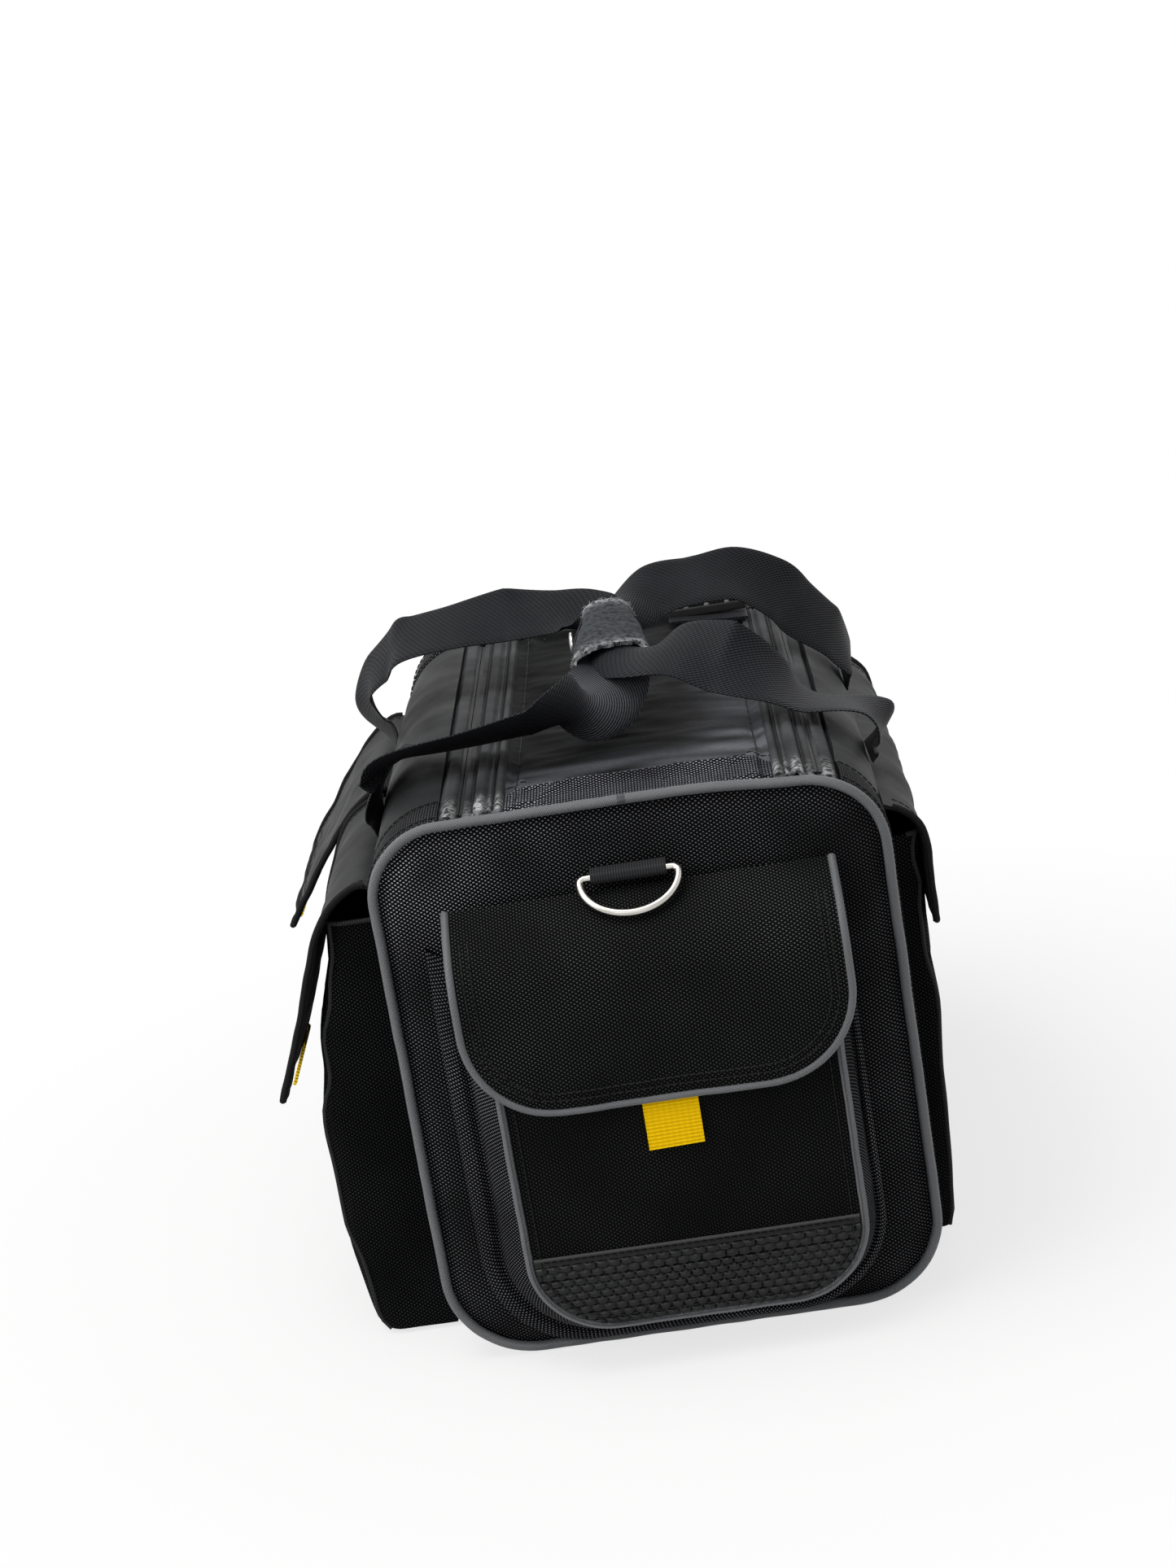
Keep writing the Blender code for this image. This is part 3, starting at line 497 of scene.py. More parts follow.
def makeSuede():
    material, tree, shader = newMaterial('worn suede', Sheen_Weight=0.05, Sheen_Roughness=0.6,
                                         Specular_IOR_Level=0.1)
    place = objectPlace(tree)
    nap = cloudy(tree, place, 420.0, 5.0)
    patches = useGroup(tree, mottleGroup, Vector=place, Patch_size=0.011, Speck_size=0.0014)
    body = mixColour(tree, patches['Patches'], (0.0060, 0.0071, 0.0086), (0.024, 0.0284, 0.0346))
    grain = mixColour(tree, ranged(tree, nap, 0.35, 0.65), body, (0.0144, 0.017, 0.021))
    frayed = calc(tree, 'MULTIPLY', wearAndPaintedLightMark(tree), ranged(tree, nap, 0.38, 0.58))
    tree.links.new(mixColour(tree, frayed, grain, (0.50, 0.52, 0.54)), shader['Base Color'])
    tree.links.new(ranged(tree, nap, 0.3, 0.7, 0.95, 0.8), shader['Roughness'])
    tree.links.new(bump(tree, nap, 0.0008, 0.6), shader['Normal'])
    return material


def makePatchVinyl():
    material, tree, shader = newMaterial('embossed vinyl', Specular_IOR_Level=0.22)
    place = objectPlace(tree)
    grain = put(tree, 'ShaderNodeTexVoronoi', {'Vector': place, 'Scale': 1500.0}).outputs[0]
    patches = useGroup(tree, mottleGroup, Vector=place, Patch_size=0.02, Speck_size=0.001)
    body = mixColour(tree, patches['Patches'], (0.0030, 0.0033, 0.0033), (0.0092, 0.0098, 0.0098))
    tree.links.new(mixColour(tree, wearAndPaintedLightMark(tree), body, (0.12, 0.12, 0.12)), shader['Base Color'])
    tree.links.new(ranged(tree, patches['Patches'], 0.0, 1.0, 0.28, 0.38), shader['Roughness'])
    tree.links.new(bump(tree, grain, 0.0002, 0.25), shader['Normal'])
    return material


def makeMetal(name, colour, rough):
    material, tree, shader = newMaterial(name, Metallic=1.0)
    place = objectPlace(tree)
    patches = useGroup(tree, mottleGroup, Vector=place, Patch_size=0.006, Speck_size=0.0008)
    streaks = cloudy(tree, place, 900.0, 3.0)
    dull = tuple(c * 0.72 for c in colour)
    dulled = calc(tree, 'MULTIPLY', patches['Patches'], 0.5)
    tree.links.new(mixColour(tree, dulled, colour, dull), shader['Base Color'])
    tree.links.new(ranged(tree, patches['Patches'], 0.0, 1.0, rough, rough + 0.14), shader['Roughness'])
    tree.links.new(bump(tree, streaks, 0.00005, 0.15), shader['Normal'])
    return material


def makePlain(name, dark, light, rough, grainScale, depth):
    material, tree, shader = newMaterial(name, Specular_IOR_Level=0.15)
    place = objectPlace(tree)
    grain = cloudy(tree, place, grainScale, 4.0)
    tree.links.new(mixColour(tree, ranged(tree, grain, 0.35, 0.65), dark, light), shader['Base Color'])
    tree.links.new(ranged(tree, grain, 0.3, 0.7, rough, rough + 0.15), shader['Roughness'])
    tree.links.new(bump(tree, grain, depth, 0.4), shader['Normal'])
    return material


cloth = {
    # Each weave's third colour is its painted highlight on the yarn crowns. The bright weave is a lit copy
    # with a stronger one, the pocket and flap weaves are shaded copies with dimmer ones, and the pouch
    # weave's crowns are dimmer too.
    'weave': makeBallistic('ballistic weave',
        (0.0005, 0.0005, 0.0006), (0.0040, 0.0042, 0.0046), (0.20, 0.206, 0.221)),
    'band': makeBallistic('bright weave',
        (0.0006, 0.0006, 0.0007), (0.0050, 0.0052, 0.0058), (0.48, 0.50, 0.56)),
    'face': makeBallistic('pocket weave',
        (0.0006, 0.0006, 0.0006), (0.0042, 0.0046, 0.0043), (0.042, 0.0455, 0.044)),
    'flap': makeBallistic('flap weave',
        (0.0006, 0.0006, 0.0006), (0.0045, 0.0049, 0.0048), (0.085, 0.089, 0.089)),
    'pouch': makeBallistic('pouch weave',
        (0.0006, 0.0006, 0.0007), (0.0020, 0.0021, 0.0023), (0.038, 0.040, 0.043)),
    'coated': makeCoated('coated cloth',
        (0.0105, 0.0109, 0.0115), (0.0170, 0.0177, 0.0188), (0.20, 0.20, 0.205), 1.0),
    # the lid cloth's pale third colour is for dust and a painted sheen
    'lidCloth': makeCoated('lid cloth',
        (0.0028, 0.0030, 0.0030), (0.0050, 0.0053, 0.0055), (0.108, 0.112, 0.126), 0.15, 0.012),
    'zipCloth': makeCoated('zip cloth',
        (0.020, 0.0208, 0.0218), (0.056, 0.058, 0.061), (0.40, 0.405, 0.415), 1.0, 0.02),
    # the handle webbing's bluish light colour holds a painted sheen on the rib tops
    'webbing': makeWebbing('handle webbing',
        (0.0012, 0.0013, 0.0015), (0.034, 0.0356, 0.0412), 0.0013, math.radians(52), 0.42),
    'tape': makeWebbing('zip tape', (0.004, 0.004, 0.0045), (0.020, 0.0205, 0.022), 0.0009, 0.0, 0.55),
    'piping': makeWebbing('piping cord',
        (0.080, 0.0825, 0.087), (0.165, 0.171, 0.181), 0.0008, math.radians(35), 0.30, 0.40),
    'yellow': makeWebbing('yellow grosgrain',
        (0.76, 0.47, 0.001), (1.0, 0.65, 0.001), 0.0017, 0.0, 0.6),
    'greyTab': makeWebbing('grey grosgrain',
        (0.014, 0.0145, 0.0155), (0.042, 0.043, 0.046), 0.0012, 0.0, 0.6),
    'suede': makeSuede(),
    'vinyl': makePatchVinyl(),
    'lining': makePlain('lining cloth',
        (0.012, 0.012, 0.013), (0.022, 0.022, 0.024), 0.7, 900.0, 0.0002),
    'thread': makePlain('sewing thread',
        (0.004, 0.004, 0.0044), (0.012, 0.012, 0.013), 0.55, 2500.0, 0.0001),
    'greyThread': makePlain('pale thread',
        (0.20, 0.20, 0.205), (0.34, 0.34, 0.345), 0.6, 2500.0, 0.0001),
    'hook': makePlain('hook tape', (0.006, 0.006, 0.006), (0.018, 0.018, 0.018), 0.85, 1400.0, 0.0006),
    'coil': makePlain('zip coil', (0.008, 0.008, 0.009), (0.020, 0.020, 0.021), 0.35, 800.0, 0.0001),
    'plastic': makePlain('moulded plastic',
        (0.018, 0.018, 0.0187), (0.032, 0.032, 0.0335), 0.34, 1600.0, 0.0001),
    'board': makePlain('base board', (0.016, 0.016, 0.016), (0.030, 0.030, 0.030), 0.7, 500.0, 0.0003),
    'nickel': makeMetal('polished nickel', (0.56, 0.54, 0.50), 0.16),
    'zipMetal': makeMetal('dark zip metal', (0.10, 0.10, 0.105), 0.30),
    'snapMetal': makeMetal('snap metal', (0.66, 0.66, 0.65), 0.24),
}
print('materials:', len(cloth))


# Geometry Nodes: a small shape repeated along a path

def makeAlongTree():
    tree = bpy.data.node_groups.new('repeat along path', 'GeometryNodeTree')
    kinds = {
        'Path': 'Geometry', 'Pitch': 'Float', 'Tumble': 'Float', 'Shape': 'Object', 'Finish': 'Material',
    }
    for label, kind in kinds.items():
        tree.interface.new_socket(name=label, in_out='INPUT', socket_type='NodeSocket' + kind)
    tree.interface.new_socket(name='Result', in_out='OUTPUT', socket_type='NodeSocketGeometry')
    given = tree.nodes.new('NodeGroupInput').outputs
    points = put(tree, 'GeometryNodeCurveToPoints', {'Curve': given['Path'], 'Length': given['Pitch']},
                 mode='LENGTH').outputs
    shape = put(tree, 'GeometryNodeObjectInfo', {'Object': given['Shape']})
    chance = put(tree, 'FunctionNodeRandomValue', {'Seed': 11}, data_type='FLOAT_VECTOR')
    for socket, way in zip(chance.inputs, (-1, 1)):
        reach = {0: (way, way, way), 'Scale': given['Tumble']}
        tree.links.new(put(tree, 'ShaderNodeVectorMath', reach, operation='SCALE').outputs[0], socket)
    placed = put(tree, 'GeometryNodeInstanceOnPoints', {
        'Points': points['Points'], 'Instance': shape.outputs['Geometry'], 'Rotation': points['Rotation']})
    tumbled = put(tree, 'GeometryNodeRotateInstances', {
        'Instances': placed.outputs[0], 'Rotation': chance.outputs[0]})
    real = put(tree, 'GeometryNodeRealizeInstances', {0: tumbled.outputs[0]})
    painted = put(tree, 'GeometryNodeSetMaterial', {
        'Geometry': real.outputs[0], 'Material': given['Finish']})
    tree.links.new(painted.outputs[0], tree.nodes.new('NodeGroupOutput').inputs[0])
    return tree


alongTree = makeAlongTree()


def capsule(name, radius, length, sides=6):
    rings = [(-0.5, 0.35), (-0.34, 0.9), (0.0, 1.0), (0.34, 0.9), (0.5, 0.35)]
    turns = np.linspace(0, 2 * math.pi, sides, endpoint=False)
    loops = [[(r * radius * math.cos(t), r * radius * math.sin(t), z * length) for t in turns]
             for z, r in rings]
    return loopBody(name, loops, np.zeros((len(rings), sides, 2)), cloth['thread'])


def repeatAlong(name, paths, shape, pitch, material, tumble=0.0):
    curve = bpy.data.curves.new(name + 'Path', 'CURVE')
    curve.dimensions = '3D'
    curve.twist_mode = 'Z_UP'
    for path in paths:
        spline = curve.splines.new('POLY')
        spline.points.add(len(path) - 1)
        spline.points.foreach_set('co', np.c_[np.asarray(path, float), np.ones(len(path))].ravel())
    holder = bpy.data.objects.new(name + 'Path', curve)
    bpy.context.scene.collection.objects.link(holder)
    step = holder.modifiers.new('repeat', 'NODES')
    step.node_group = alongTree
    values = {'Pitch': pitch, 'Tumble': tumble, 'Shape': shape, 'Finish': material}
    for socket in alongTree.interface.items_tree:
        if socket.name in values:
            step[socket.identifier] = values[socket.name]
    graph = bpy.context.evaluated_depsgraph_get()
    mesh = bpy.data.meshes.new_from_object(holder.evaluated_get(graph))
    mesh.name = name
    mesh.shade_smooth()
    piece = bpy.data.objects.new(name, mesh)
    bpy.context.scene.collection.objects.link(piece)
    bpy.data.objects.remove(holder)
    return piece


sewing = {'pitch': 0.0034, 'length': 0.0030, 'radius': 0.00042, 'proud': 0.0001}
stitchShape = capsule('stitchShape', sewing['radius'], sewing['length'])
seams = {}  # body -> stitch paths, sewn together at the end
folds = {}  # body -> where its cover leaves the wall and where it moves freely


def bend(piece, body, slot, *nodes, fold=None):  # a piece on a hinge: its place is baked into its mesh and the given parts are hidden
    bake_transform(piece)
    if nodes:
        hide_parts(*nodes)


def sew(body, path):
    seams.setdefault(body, []).append(np.asarray(path, float))


# Carcass: end panels, piping, gussets, sides and floor

# shine sets the strength of a painted highlight on the upper left corner of each end panel; the two
# settings after overlap give its middle and size
endPanel = {
    'rings': 26, 'sides': 132, 'tuck': 0.0036, 'ripple': 0.0010, 'thick': 0.0035, 'shine': 0.78,
    'overlap': 0.0006, 'rubbedAndPaintedLight': (-0.085, 0.235), 'highlightSize': (0.035, 0.028),
}


def buildEndPanel(name, side):
    places = np.linspace(0, rimLength, endPanel['sides'], endpoint=False)
    x, z = rimAt(places, -2 * bag['piping'] + endPanel['overlap'])
    middle = np.array([0.0, bag['height'] / 2])
    outline = stacked(x, z)
    hem = [0.93, 0.955, 0.975, 0.99, 1.0]
    shares = np.concatenate([[0.02], np.linspace(0.08, 0.90, endPanel['rings'] - 6), hem])
    loops, uvs, wear = [], [], []
    for share in shares:
        flat = middle + (outline - middle) * share
        points = stacked(flat[:, 0], np.full(len(flat), side * bag['end']), flat[:, 1])
        tuck = endPanel['tuck'] * smoothStep(hem[0], hem[-1], share)
        points[:, 1] -= side * (tuck + endPanel['ripple'] * (0.6 + ripple(points, 0.05, 4)))
        loops.append(points)
        uvs.append(flat)
        # painted highlight: the yarn crowns near the upper left corner are painted brighter
        apart = (flat - endPanel['rubbedAndPaintedLight']) / endPanel['highlightSize']
        corner = np.exp(-apart[:, 0] ** 2 - apart[:, 1] ** 2)
        wear.append(endPanel['shine'] * corner * (0.6 + ripple(points, 0.02, 5)))
    for points, flat, mark in list(zip(loops, uvs, wear))[::-1]:
        loops.append(points - np.array([0, side * endPanel['thick'], 0]))
        uvs.append(flat)
        wear.append(mark)
    return loopBody(name, slumped(loops), uvs, cloth['weave'], wear=wear, lining=cloth['lining'],
                    liningFrom=len(shares))


def buildCarcass():
    for label, side in (('front', -1), ('rear', 1)):
        panel = buildEndPanel(label + 'EndPanel', side)
        settle(panel, 'carcass', label + '_end_panel', slot='weave')
        x, z = rimAt(np.linspace(0, rimLength, 260, endpoint=False), -bag['piping'])
        route = stacked(x, np.full(len(x), side * (bag['end'] - bag['piping'])), z)
        route = slumped(wobble(route, (1, 2, 3)))
        cord = tubeBody(label + 'Piping', route, bag['piping'], cloth['piping'], closed=True)
        settle(cord, 'carcass', label + '_piping', slot='piping')
    buildWalls()


zips = {
    'left': {'slit': 0.071, 'toLid': -1},
    'right': {'slit': 0.090, 'toLid': 1},
    'outer': 0.0095, 'inner': 0.020, 'bridge': 0.040, 'gap': 0.00015, 'clear': 0.00045, 'thick': 0.0018,
    # place across the tape, width and height; the first leaves room for the slider
    'lidWelts': [(0.44, 0.14, 0.0022), (0.90, 0.10, 0.0018), (0.68, 0.05, 0.0010)],
    'bodyWelts': [(0.5, 0.30, 0.0012)],
    # place across the tape and depth
    'lidGrooves': [(0.0, 0.0026), (0.28, 0.0012), (1.0, 0.0016)],
    'bodyGrooves': [(1.0, 0.0026), (0.0, 0.0012)],
}
zipRear = bag['inside'] - zips['bridge']
leftEdge = zips['left']['slit'] + zips['outer'] + zips['clear']
rightEdge = rimLength - zips['right']['slit'] - zips['outer'] - zips['clear']
floorStart, floorEnd = rimReach[50], rimReach[51]

walls = {'thick': 0.0034, 'ripple': 0.0010, 'seamDip': 0.0009, 'endPuff': 0.0006, 'sidePuff': 0.0012}


def wallLift(seed, puff):
    def lift(across, along, flat):
        hem = smoothStep(0, 0.05, along) - smoothStep(0.95, 1, along)
        soft = puff * np.sin(math.pi * along) ** 0.6
        waves = walls['ripple'] * (ripple(flat, 0.045, seed) + 0.5 * ripple(flat, 0.018, seed + 5)) * hem
        low = smoothStep(0.010, 0.05, flat[..., 2])
        return (soft + waves) * low - walls['seamDip'] * (1 - hem)
    return lift


def buildWall(name, node, finish, span, ys, counts, seed, puff, way=1):
    grid, uv = rimGrid(*span, *ys, *counts, wallLift(seed, puff))[:2]
    piece = sheetBody(name, grid, way * walls['thick'], uv, cloth[finish], cloth['lining'])
    settle(piece, 'carcass', node, slot=finish)


def buildWalls():
    for label, side in (('front', -1), ('rear', 1)):
        ys = side * (bag['inside'] - bag['gusset']), side * bag['inside']
        buildWall(label + 'Gusset', label + '_gusset', 'weave', (leftEdge, rightEdge), ys, (240, 20),
                  3 + side, walls['endPuff'], side)
        around = np.linspace(leftEdge + 0.002, rightEdge - 0.002, 260)
        for inset in (0.0035, bag['gusset'] - 0.003):
            sew('carcass', slumped(rimSurface(around, side * (bag['inside'] - inset), 0.0004)))
    spans = {
        'leftSidePanel': ('left_side_panel', (leftEdge, floorStart), walls['sidePuff']),
        'bottomPanel': ('bottom_panel', (floorStart + bag['seam'], floorEnd - bag['seam']), 0.0),
        'rightSidePanel': ('right_side_panel', (floorEnd, rightEdge), walls['sidePuff']),
    }
    ys = -bag['middle'], bag['middle']
    for seed, (name, (node, span, puff)) in enumerate(spans.items()):
        buildWall(name, node, 'coated', span, ys, (110, 96), 10 + seed, puff)
    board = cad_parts['base_board']
    board.data.materials.clear()
    board.data.materials.append(cloth['board'])


buildCarcass()
print('carcass done')


# Lid, zips, sliders and the ladder buckle

lid = {
    'crown': 0.0020, 'thick': 0.0036, 'weaveDepth': 0.030, 'ripple': 0.0013, 'bandRows': 20,
    'slack': 0.008, 'cap': 0.0040, 'under': 0.0014, 'tuck': 0.0026, 'edgeDip': 0.0012, 'seamDip': 0.0011,
    'dust': 0.95,
}
lidLow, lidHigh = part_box('lid_panel')


def lidGrid(y, seed):
    x = np.linspace(lidLow.x - lid['under'], lidHigh.x + lid['under'], 60)
    x, y = np.meshgrid(x, y, indexing='ij')
    u = (x - lidLow.x) / (lidHigh.x - lidLow.x)
    v = (y - lidLow.y) / (lidHigh.y - lidLow.y)
    flat = stacked(x, y, np.full(x.shape, bag['height']))
    edge = smoothStep(0, 0.07, u) * smoothStep(0, 0.07, 1 - u)
    ends = smoothStep(0, 0.10, v) * smoothStep(0, 0.06, 1 - v)
    seamLine = np.exp(-((y - (lidLow.y + lid['weaveDepth'])) / 0.0022) ** 2)
    waves = ripple(flat * (1, 2.2, 1), 0.05, seed) + 0.5 * ripple(flat * (1, 3, 1), 0.022, seed + 2)
    puffed = (lid['crown'] + lid['ripple'] * waves) * edge * (0.35 + 0.65 * ends)
    flat[..., 2] += puffed - lid['edgeDip'] * (1 - edge) - lid['seamDip'] * seamLine
    flat[..., 2] -= lid['tuck'] * (1 - smoothStep(0, 0.02, v))  # tucked in behind the piping
    # dust and a painted sheen: the lid is painted lighter towards its front and its right edge
    dustAndSheen = lid['dust'] * (1 - smoothStep(0.09, 0.25, v)) + lid['dust'] * smoothStep(0.66, 0.93, u)
    dustAndSheen = dustAndSheen * (0.7 + 1.1 * ripple(flat * (1, 5, 1), 0.05, seed + 4))
    return slumped(flat), stacked(x, y), np.clip(dustAndSheen, 0, 1)


def buildLid():
    seamY = lidLow.y + lid['weaveDepth']
    bandRows = lid['bandRows']
    band = np.linspace(lidLow.y, seamY - 0.0002, bandRows)
    rest = np.linspace(seamY + 0.0002, lidHigh.y, 120)
    grid, uv, wear = lidGrid(np.concatenate([band, rest]), 21)
    sewn = np.zeros(grid.shape[:2])
    sewn[:2], sewn[-2:], sewn[:, :2], sewn[:, -2:] = 1, 1, 1, 1
    sewn[:, bandRows - 1:bandRows + 1] = 0.6
    grid = settleCloth(grid, sewn, lid['slack'], lid['cap'])
    parts = (
        ('lidWeaveBand', slice(None, bandRows), 'band', 'weave'),
        ('lidPanel', slice(bandRows - 1, None), 'lidCloth', 'coated'),
    )
    for name, rows, finish, slot in parts:
        mark = wear[:, rows] if name == 'lidPanel' else None
        piece = sheetBody(name, grid[:, rows], -lid['thick'], uv[:, rows], cloth[finish], cloth['lining'],
                          mark)
        settle(piece, 'lid', 'lid_panel', slot=slot)
    above = np.array([0, 0, 0.0002])
    for line in (grid[:, bandRows + 2], grid[3, 1:-1], grid[56, 1:-1]):
        sew('lid', line + above)
    span = rimLength - zips['right']['slit'] + zips['gap'], rimLength + zips['left']['slit'] - zips['gap']
    ys = zipRear + bag['seam'], bag['inside']
    buildWall('rearTopStrip', 'rear_top_strip', 'weave', span, ys, (70, 26), 31, walls['endPuff'])


def tapeProfile(across, welts):
    lift = np.zeros_like(across)
    for place, width, height in welts:
        lift += height * np.exp(-((across - place) / width) ** 4)
    return lift


def buildTape(name, node, body, start, end, y1, welts, grooves):
    def lift(across, along, flat):
        front = 1 - smoothStep(0, 0.085, along)
        crumple = front * (0.0018 * ripple(flat, 0.006, 41) + 0.0014 * ripple(flat, 0.012, 42))
        clear = smoothStep(0.004, 0.009, np.abs(across - grooves[0][0]) * (end - start))
        crumple = np.minimum(crumple, 0.0002 + 0.004 * clear)  # room for the slider
        sway = 0.0003 * ripple(flat, 0.03, 43)
        cut = sum(deep * np.exp(-((across - place) * (end - start) / 0.0011) ** 2)
                  for place, deep in grooves)
        return tapeProfile(across, welts) + crumple + sway - cut - 0.0006
    grid, uv, across, along = rimGrid(start, end, -bag['inside'], y1, 52, 190, lift)
    wear = (1 - smoothStep(0.015, 0.095, along)) * (0.35 + 0.65 * tapeProfile(across, welts) / 0.0022)
    wear = np.clip(wear, 0, 1)
    piece = sheetBody(name, grid, zips['thick'], uv, cloth['zipCloth'], cloth['lining'], wear)
    settle(piece, body, node, slot='webbing')


teeth = {'pitch': 0.0016, 'size': (0.0021, 0.0009, 0.0011), 'sunk': 0.0012, 'off': 0.0012, 'edge': 0.0002}


def buildZip(label):
    slit, toLid = zips[label]['slit'], zips[label]['toLid']
    centre = slit if toLid < 0 else rimLength - slit
    sides = {  # the tape's body, its way from the slit, width and rear end
        'lid': ('lid', toLid, zips['inner'], zipRear),
        'body': ('carcass', -toLid, zips['outer'], bag['inside']),
    }
    for part, (body, way, width, rear) in sides.items():
        ends = sorted((centre + way * zips['gap'], centre + way * (zips['gap'] + width)))
        shapes = zips[part + 'Welts'], zips[part + 'Grooves']
        if toLid < 0:
            shapes = ([(1 - place, *rest) for place, *rest in rows] for rows in shapes)
        name, node = label + 'Zip' + part.capitalize() + 'Tape', label + '_zip_' + part + '_tape'
        buildTape(name, node, body, *ends, rear, *shapes)
    ys = np.linspace(-bag['inside'] + 0.006, zipRear - 0.004, 120)
    for body, way, shift in (('lid', toLid, 0.0), ('carcass', -toLid, teeth['pitch'] / 2)):
        places = np.full(len(ys), centre + way * teeth['off'])
        path = slumped(rimSurface(places, ys + shift, -teeth['sunk']))
        name = label + 'Teeth' + body.capitalize()
        row = repeatAlong(name, [path], toothShape, teeth['pitch'], cloth['coil'])
        settle(row, body, slot='webbing')
    ys = np.linspace(-bag['inside'] + 0.004, zipRear - 0.003, 100)
    for inset in (0.30, 0.76):
        places = np.full(len(ys), centre + toLid * zips['inner'] * inset)
        sew('lid', slumped(rimSurface(places, ys, 0.0003)))


def roundedBox(name, low, high, radius, material):
    work = bmesh.new()
    bmesh.ops.create_cube(work, size=1)
    middle, size = (Vector(low) + Vector(high)) / 2, Vector(high) - Vector(low)
    place = Matrix.Translation(middle) @ Matrix.Diagonal((*size, 1))
    bmesh.ops.transform(work, matrix=place, verts=work.verts)
    bmesh.ops.bevel(work, geom=work.edges[:], offset=radius, segments=3, profile=0.6, affect='EDGES')
    verts = [v.co[:] for v in work.verts]
    work.verts.index_update()
    faces = [[v.index for v in f.verts] for f in work.faces]
    work.free()
    return addPiece(name, verts, faces, material)


toothHalf = Vector(teeth['size']) / 2
toothShape = roundedBox('toothShape', -toothHalf, toothHalf, teeth['edge'], cloth['coil'])


def joinPieces(name, pieces):
    verts, faces = [], []
    for piece in pieces:
        start = len(verts)
        verts += [v.co[:] for v in piece.data.vertices]
        faces += [[start + i for i in f.vertices] for f in piece.data.polygons]
    material = pieces[0].data.materials[0]
    for piece in pieces:
        bpy.data.objects.remove(piece)
    return addPiece(name, verts, faces, material)


slider = {'wing': 0.0012, 'bridge': 0.0016, 'pullHole': 0.0021, 'edge': 0.0005, 'inset': 0.0015}


def buildSlider(label):
    low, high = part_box(label + '_zip_slider')
    drop = bag['slump'] * float(smoothStep(0.02, 0.10, (low.x + high.x) / 2))
    fall = Vector((0, 0, -drop))
    low, high = low + fall, high + fall
    mid = (low.x + high.x) / 2
    plateTop = low.z + slider['wing']
    edge, inset = slider['edge'], slider['inset']
    plate = roundedBox(label + 'Plate', low, (high.x, high.y, plateTop), edge, cloth['zipMetal'])
    cap = roundedBox(label + 'Cap', (mid - slider['bridge'], low.y + inset, plateTop + 0.0001),
                     (mid + slider['bridge'], high.y - inset, high.z), edge, cloth['zipMetal'])
    whole = joinPieces(label + 'ZipSlider', [plate, cap])
    settle(whole, label + '_slider', label + '_zip_slider', slot='nickel')
    low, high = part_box(label + '_zip_pull')
    buildPull(label, low + fall, high + fall)


def buildPull(label, low, high):  # a flat pull with a rounded end and an eye
    width, mid = (high.x - low.x) / 2, (low.x + high.x) / 2
    turns = np.linspace(0, 2 * math.pi, 48, endpoint=False)
    long = (high.y - low.y) / 2 - width
    centre = (low.y + high.y) / 2
    eye = np.array([mid, high.y - width * 1.25])

    def outline(shrink):
        x = mid + (width - shrink) * np.cos(turns)
        y = centre + (width - shrink) * np.sin(turns) + np.sign(np.sin(turns) + 1e-9) * long
        return stacked(x, y)

    def hole(grow):
        return eye + (slider['pullHole'] / 2 + grow) * stacked(np.cos(turns), np.sin(turns))
    edge = 0.0003
    steps = [
        (outline(edge), low.z), (outline(0), low.z + edge),
        (outline(0), high.z - edge), (outline(edge), high.z),
        (hole(edge), high.z), (hole(0), high.z - edge),
        (hole(0), low.z + edge), (hole(edge), low.z),
    ]
    loops = [np.c_[flat, np.full(len(flat), z)] for flat, z in steps]
    uvs = np.zeros((len(loops), len(turns), 2))
    piece = loopBody(label + 'ZipPull', loops, uvs, cloth['zipMetal'], closed=True)
    settle(piece, label + '_pull', label + '_zip_pull', slot='nickel')


buckle = {
    'teeth': 4, 'gap': 0.0024, 'rail': 0.5, 'inset': 0.0008, 'railEdge': 0.0010, 'toothEdge': 0.0009,
    'middle': 0.053, 'tabThick': 0.0014,
}


def buildBuckle():
    low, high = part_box('ladder_buckle')
    slump = bag['slump'] * float(smoothStep(0.02, 0.10, buckle['middle']))
    drop = Vector((0, 0, slump)) - Vector((0, 0, lid['crown'] * 0.8))
    low, high = low - drop, high - drop
    rail = (high.z - low.z) * buckle['rail']
    railHigh = high.x, high.y, low.z + rail
    bars = [roundedBox('buckleRail', low, railHigh, buckle['railEdge'], cloth['plastic'])]
    count, gap, inset = buckle['teeth'], buckle['gap'], buckle['inset']
    wide = (high.x - low.x - (count - 1) * gap) / count
    for k in range(count):
        x = low.x + k * (wide + gap)
        bars.append(roundedBox('buckleTooth%d' % k, (x, low.y + inset, low.z + rail - 0.0002),
                               (x + wide, high.y - inset, high.z), buckle['toothEdge'], cloth['plastic']))
    settle(joinPieces('ladderBuckle', bars), 'lid', 'ladder_buckle', slot='plastic')
    tabLow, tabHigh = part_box('buckle_tab')
    x, y = np.linspace(tabLow.x, tabHigh.x, 14), np.linspace(tabLow.y, tabHigh.y, 20)
    x, y = np.meshgrid(x, y, indexing='ij')
    grid = slumped(stacked(x, y, np.full(x.shape, tabHigh.z)))
    grid[..., 2] += lid['crown'] * 0.85 + 0.0004 * ripple(grid, 0.012, 3)
    strip = sheetBody('buckleTab', grid, -buckle['tabThick'], stacked(x - tabLow.x, y), cloth['webbing'])
    settle(strip, 'lid', 'buckle_tab', slot='webbing')


buildLid()
for label in ('left', 'right'):
    buildZip(label)
    buildSlider(label)
buildBuckle()
print('lid and zips done')


# End pockets: bellows, face, vinyl patch, flap, pull tab and ring

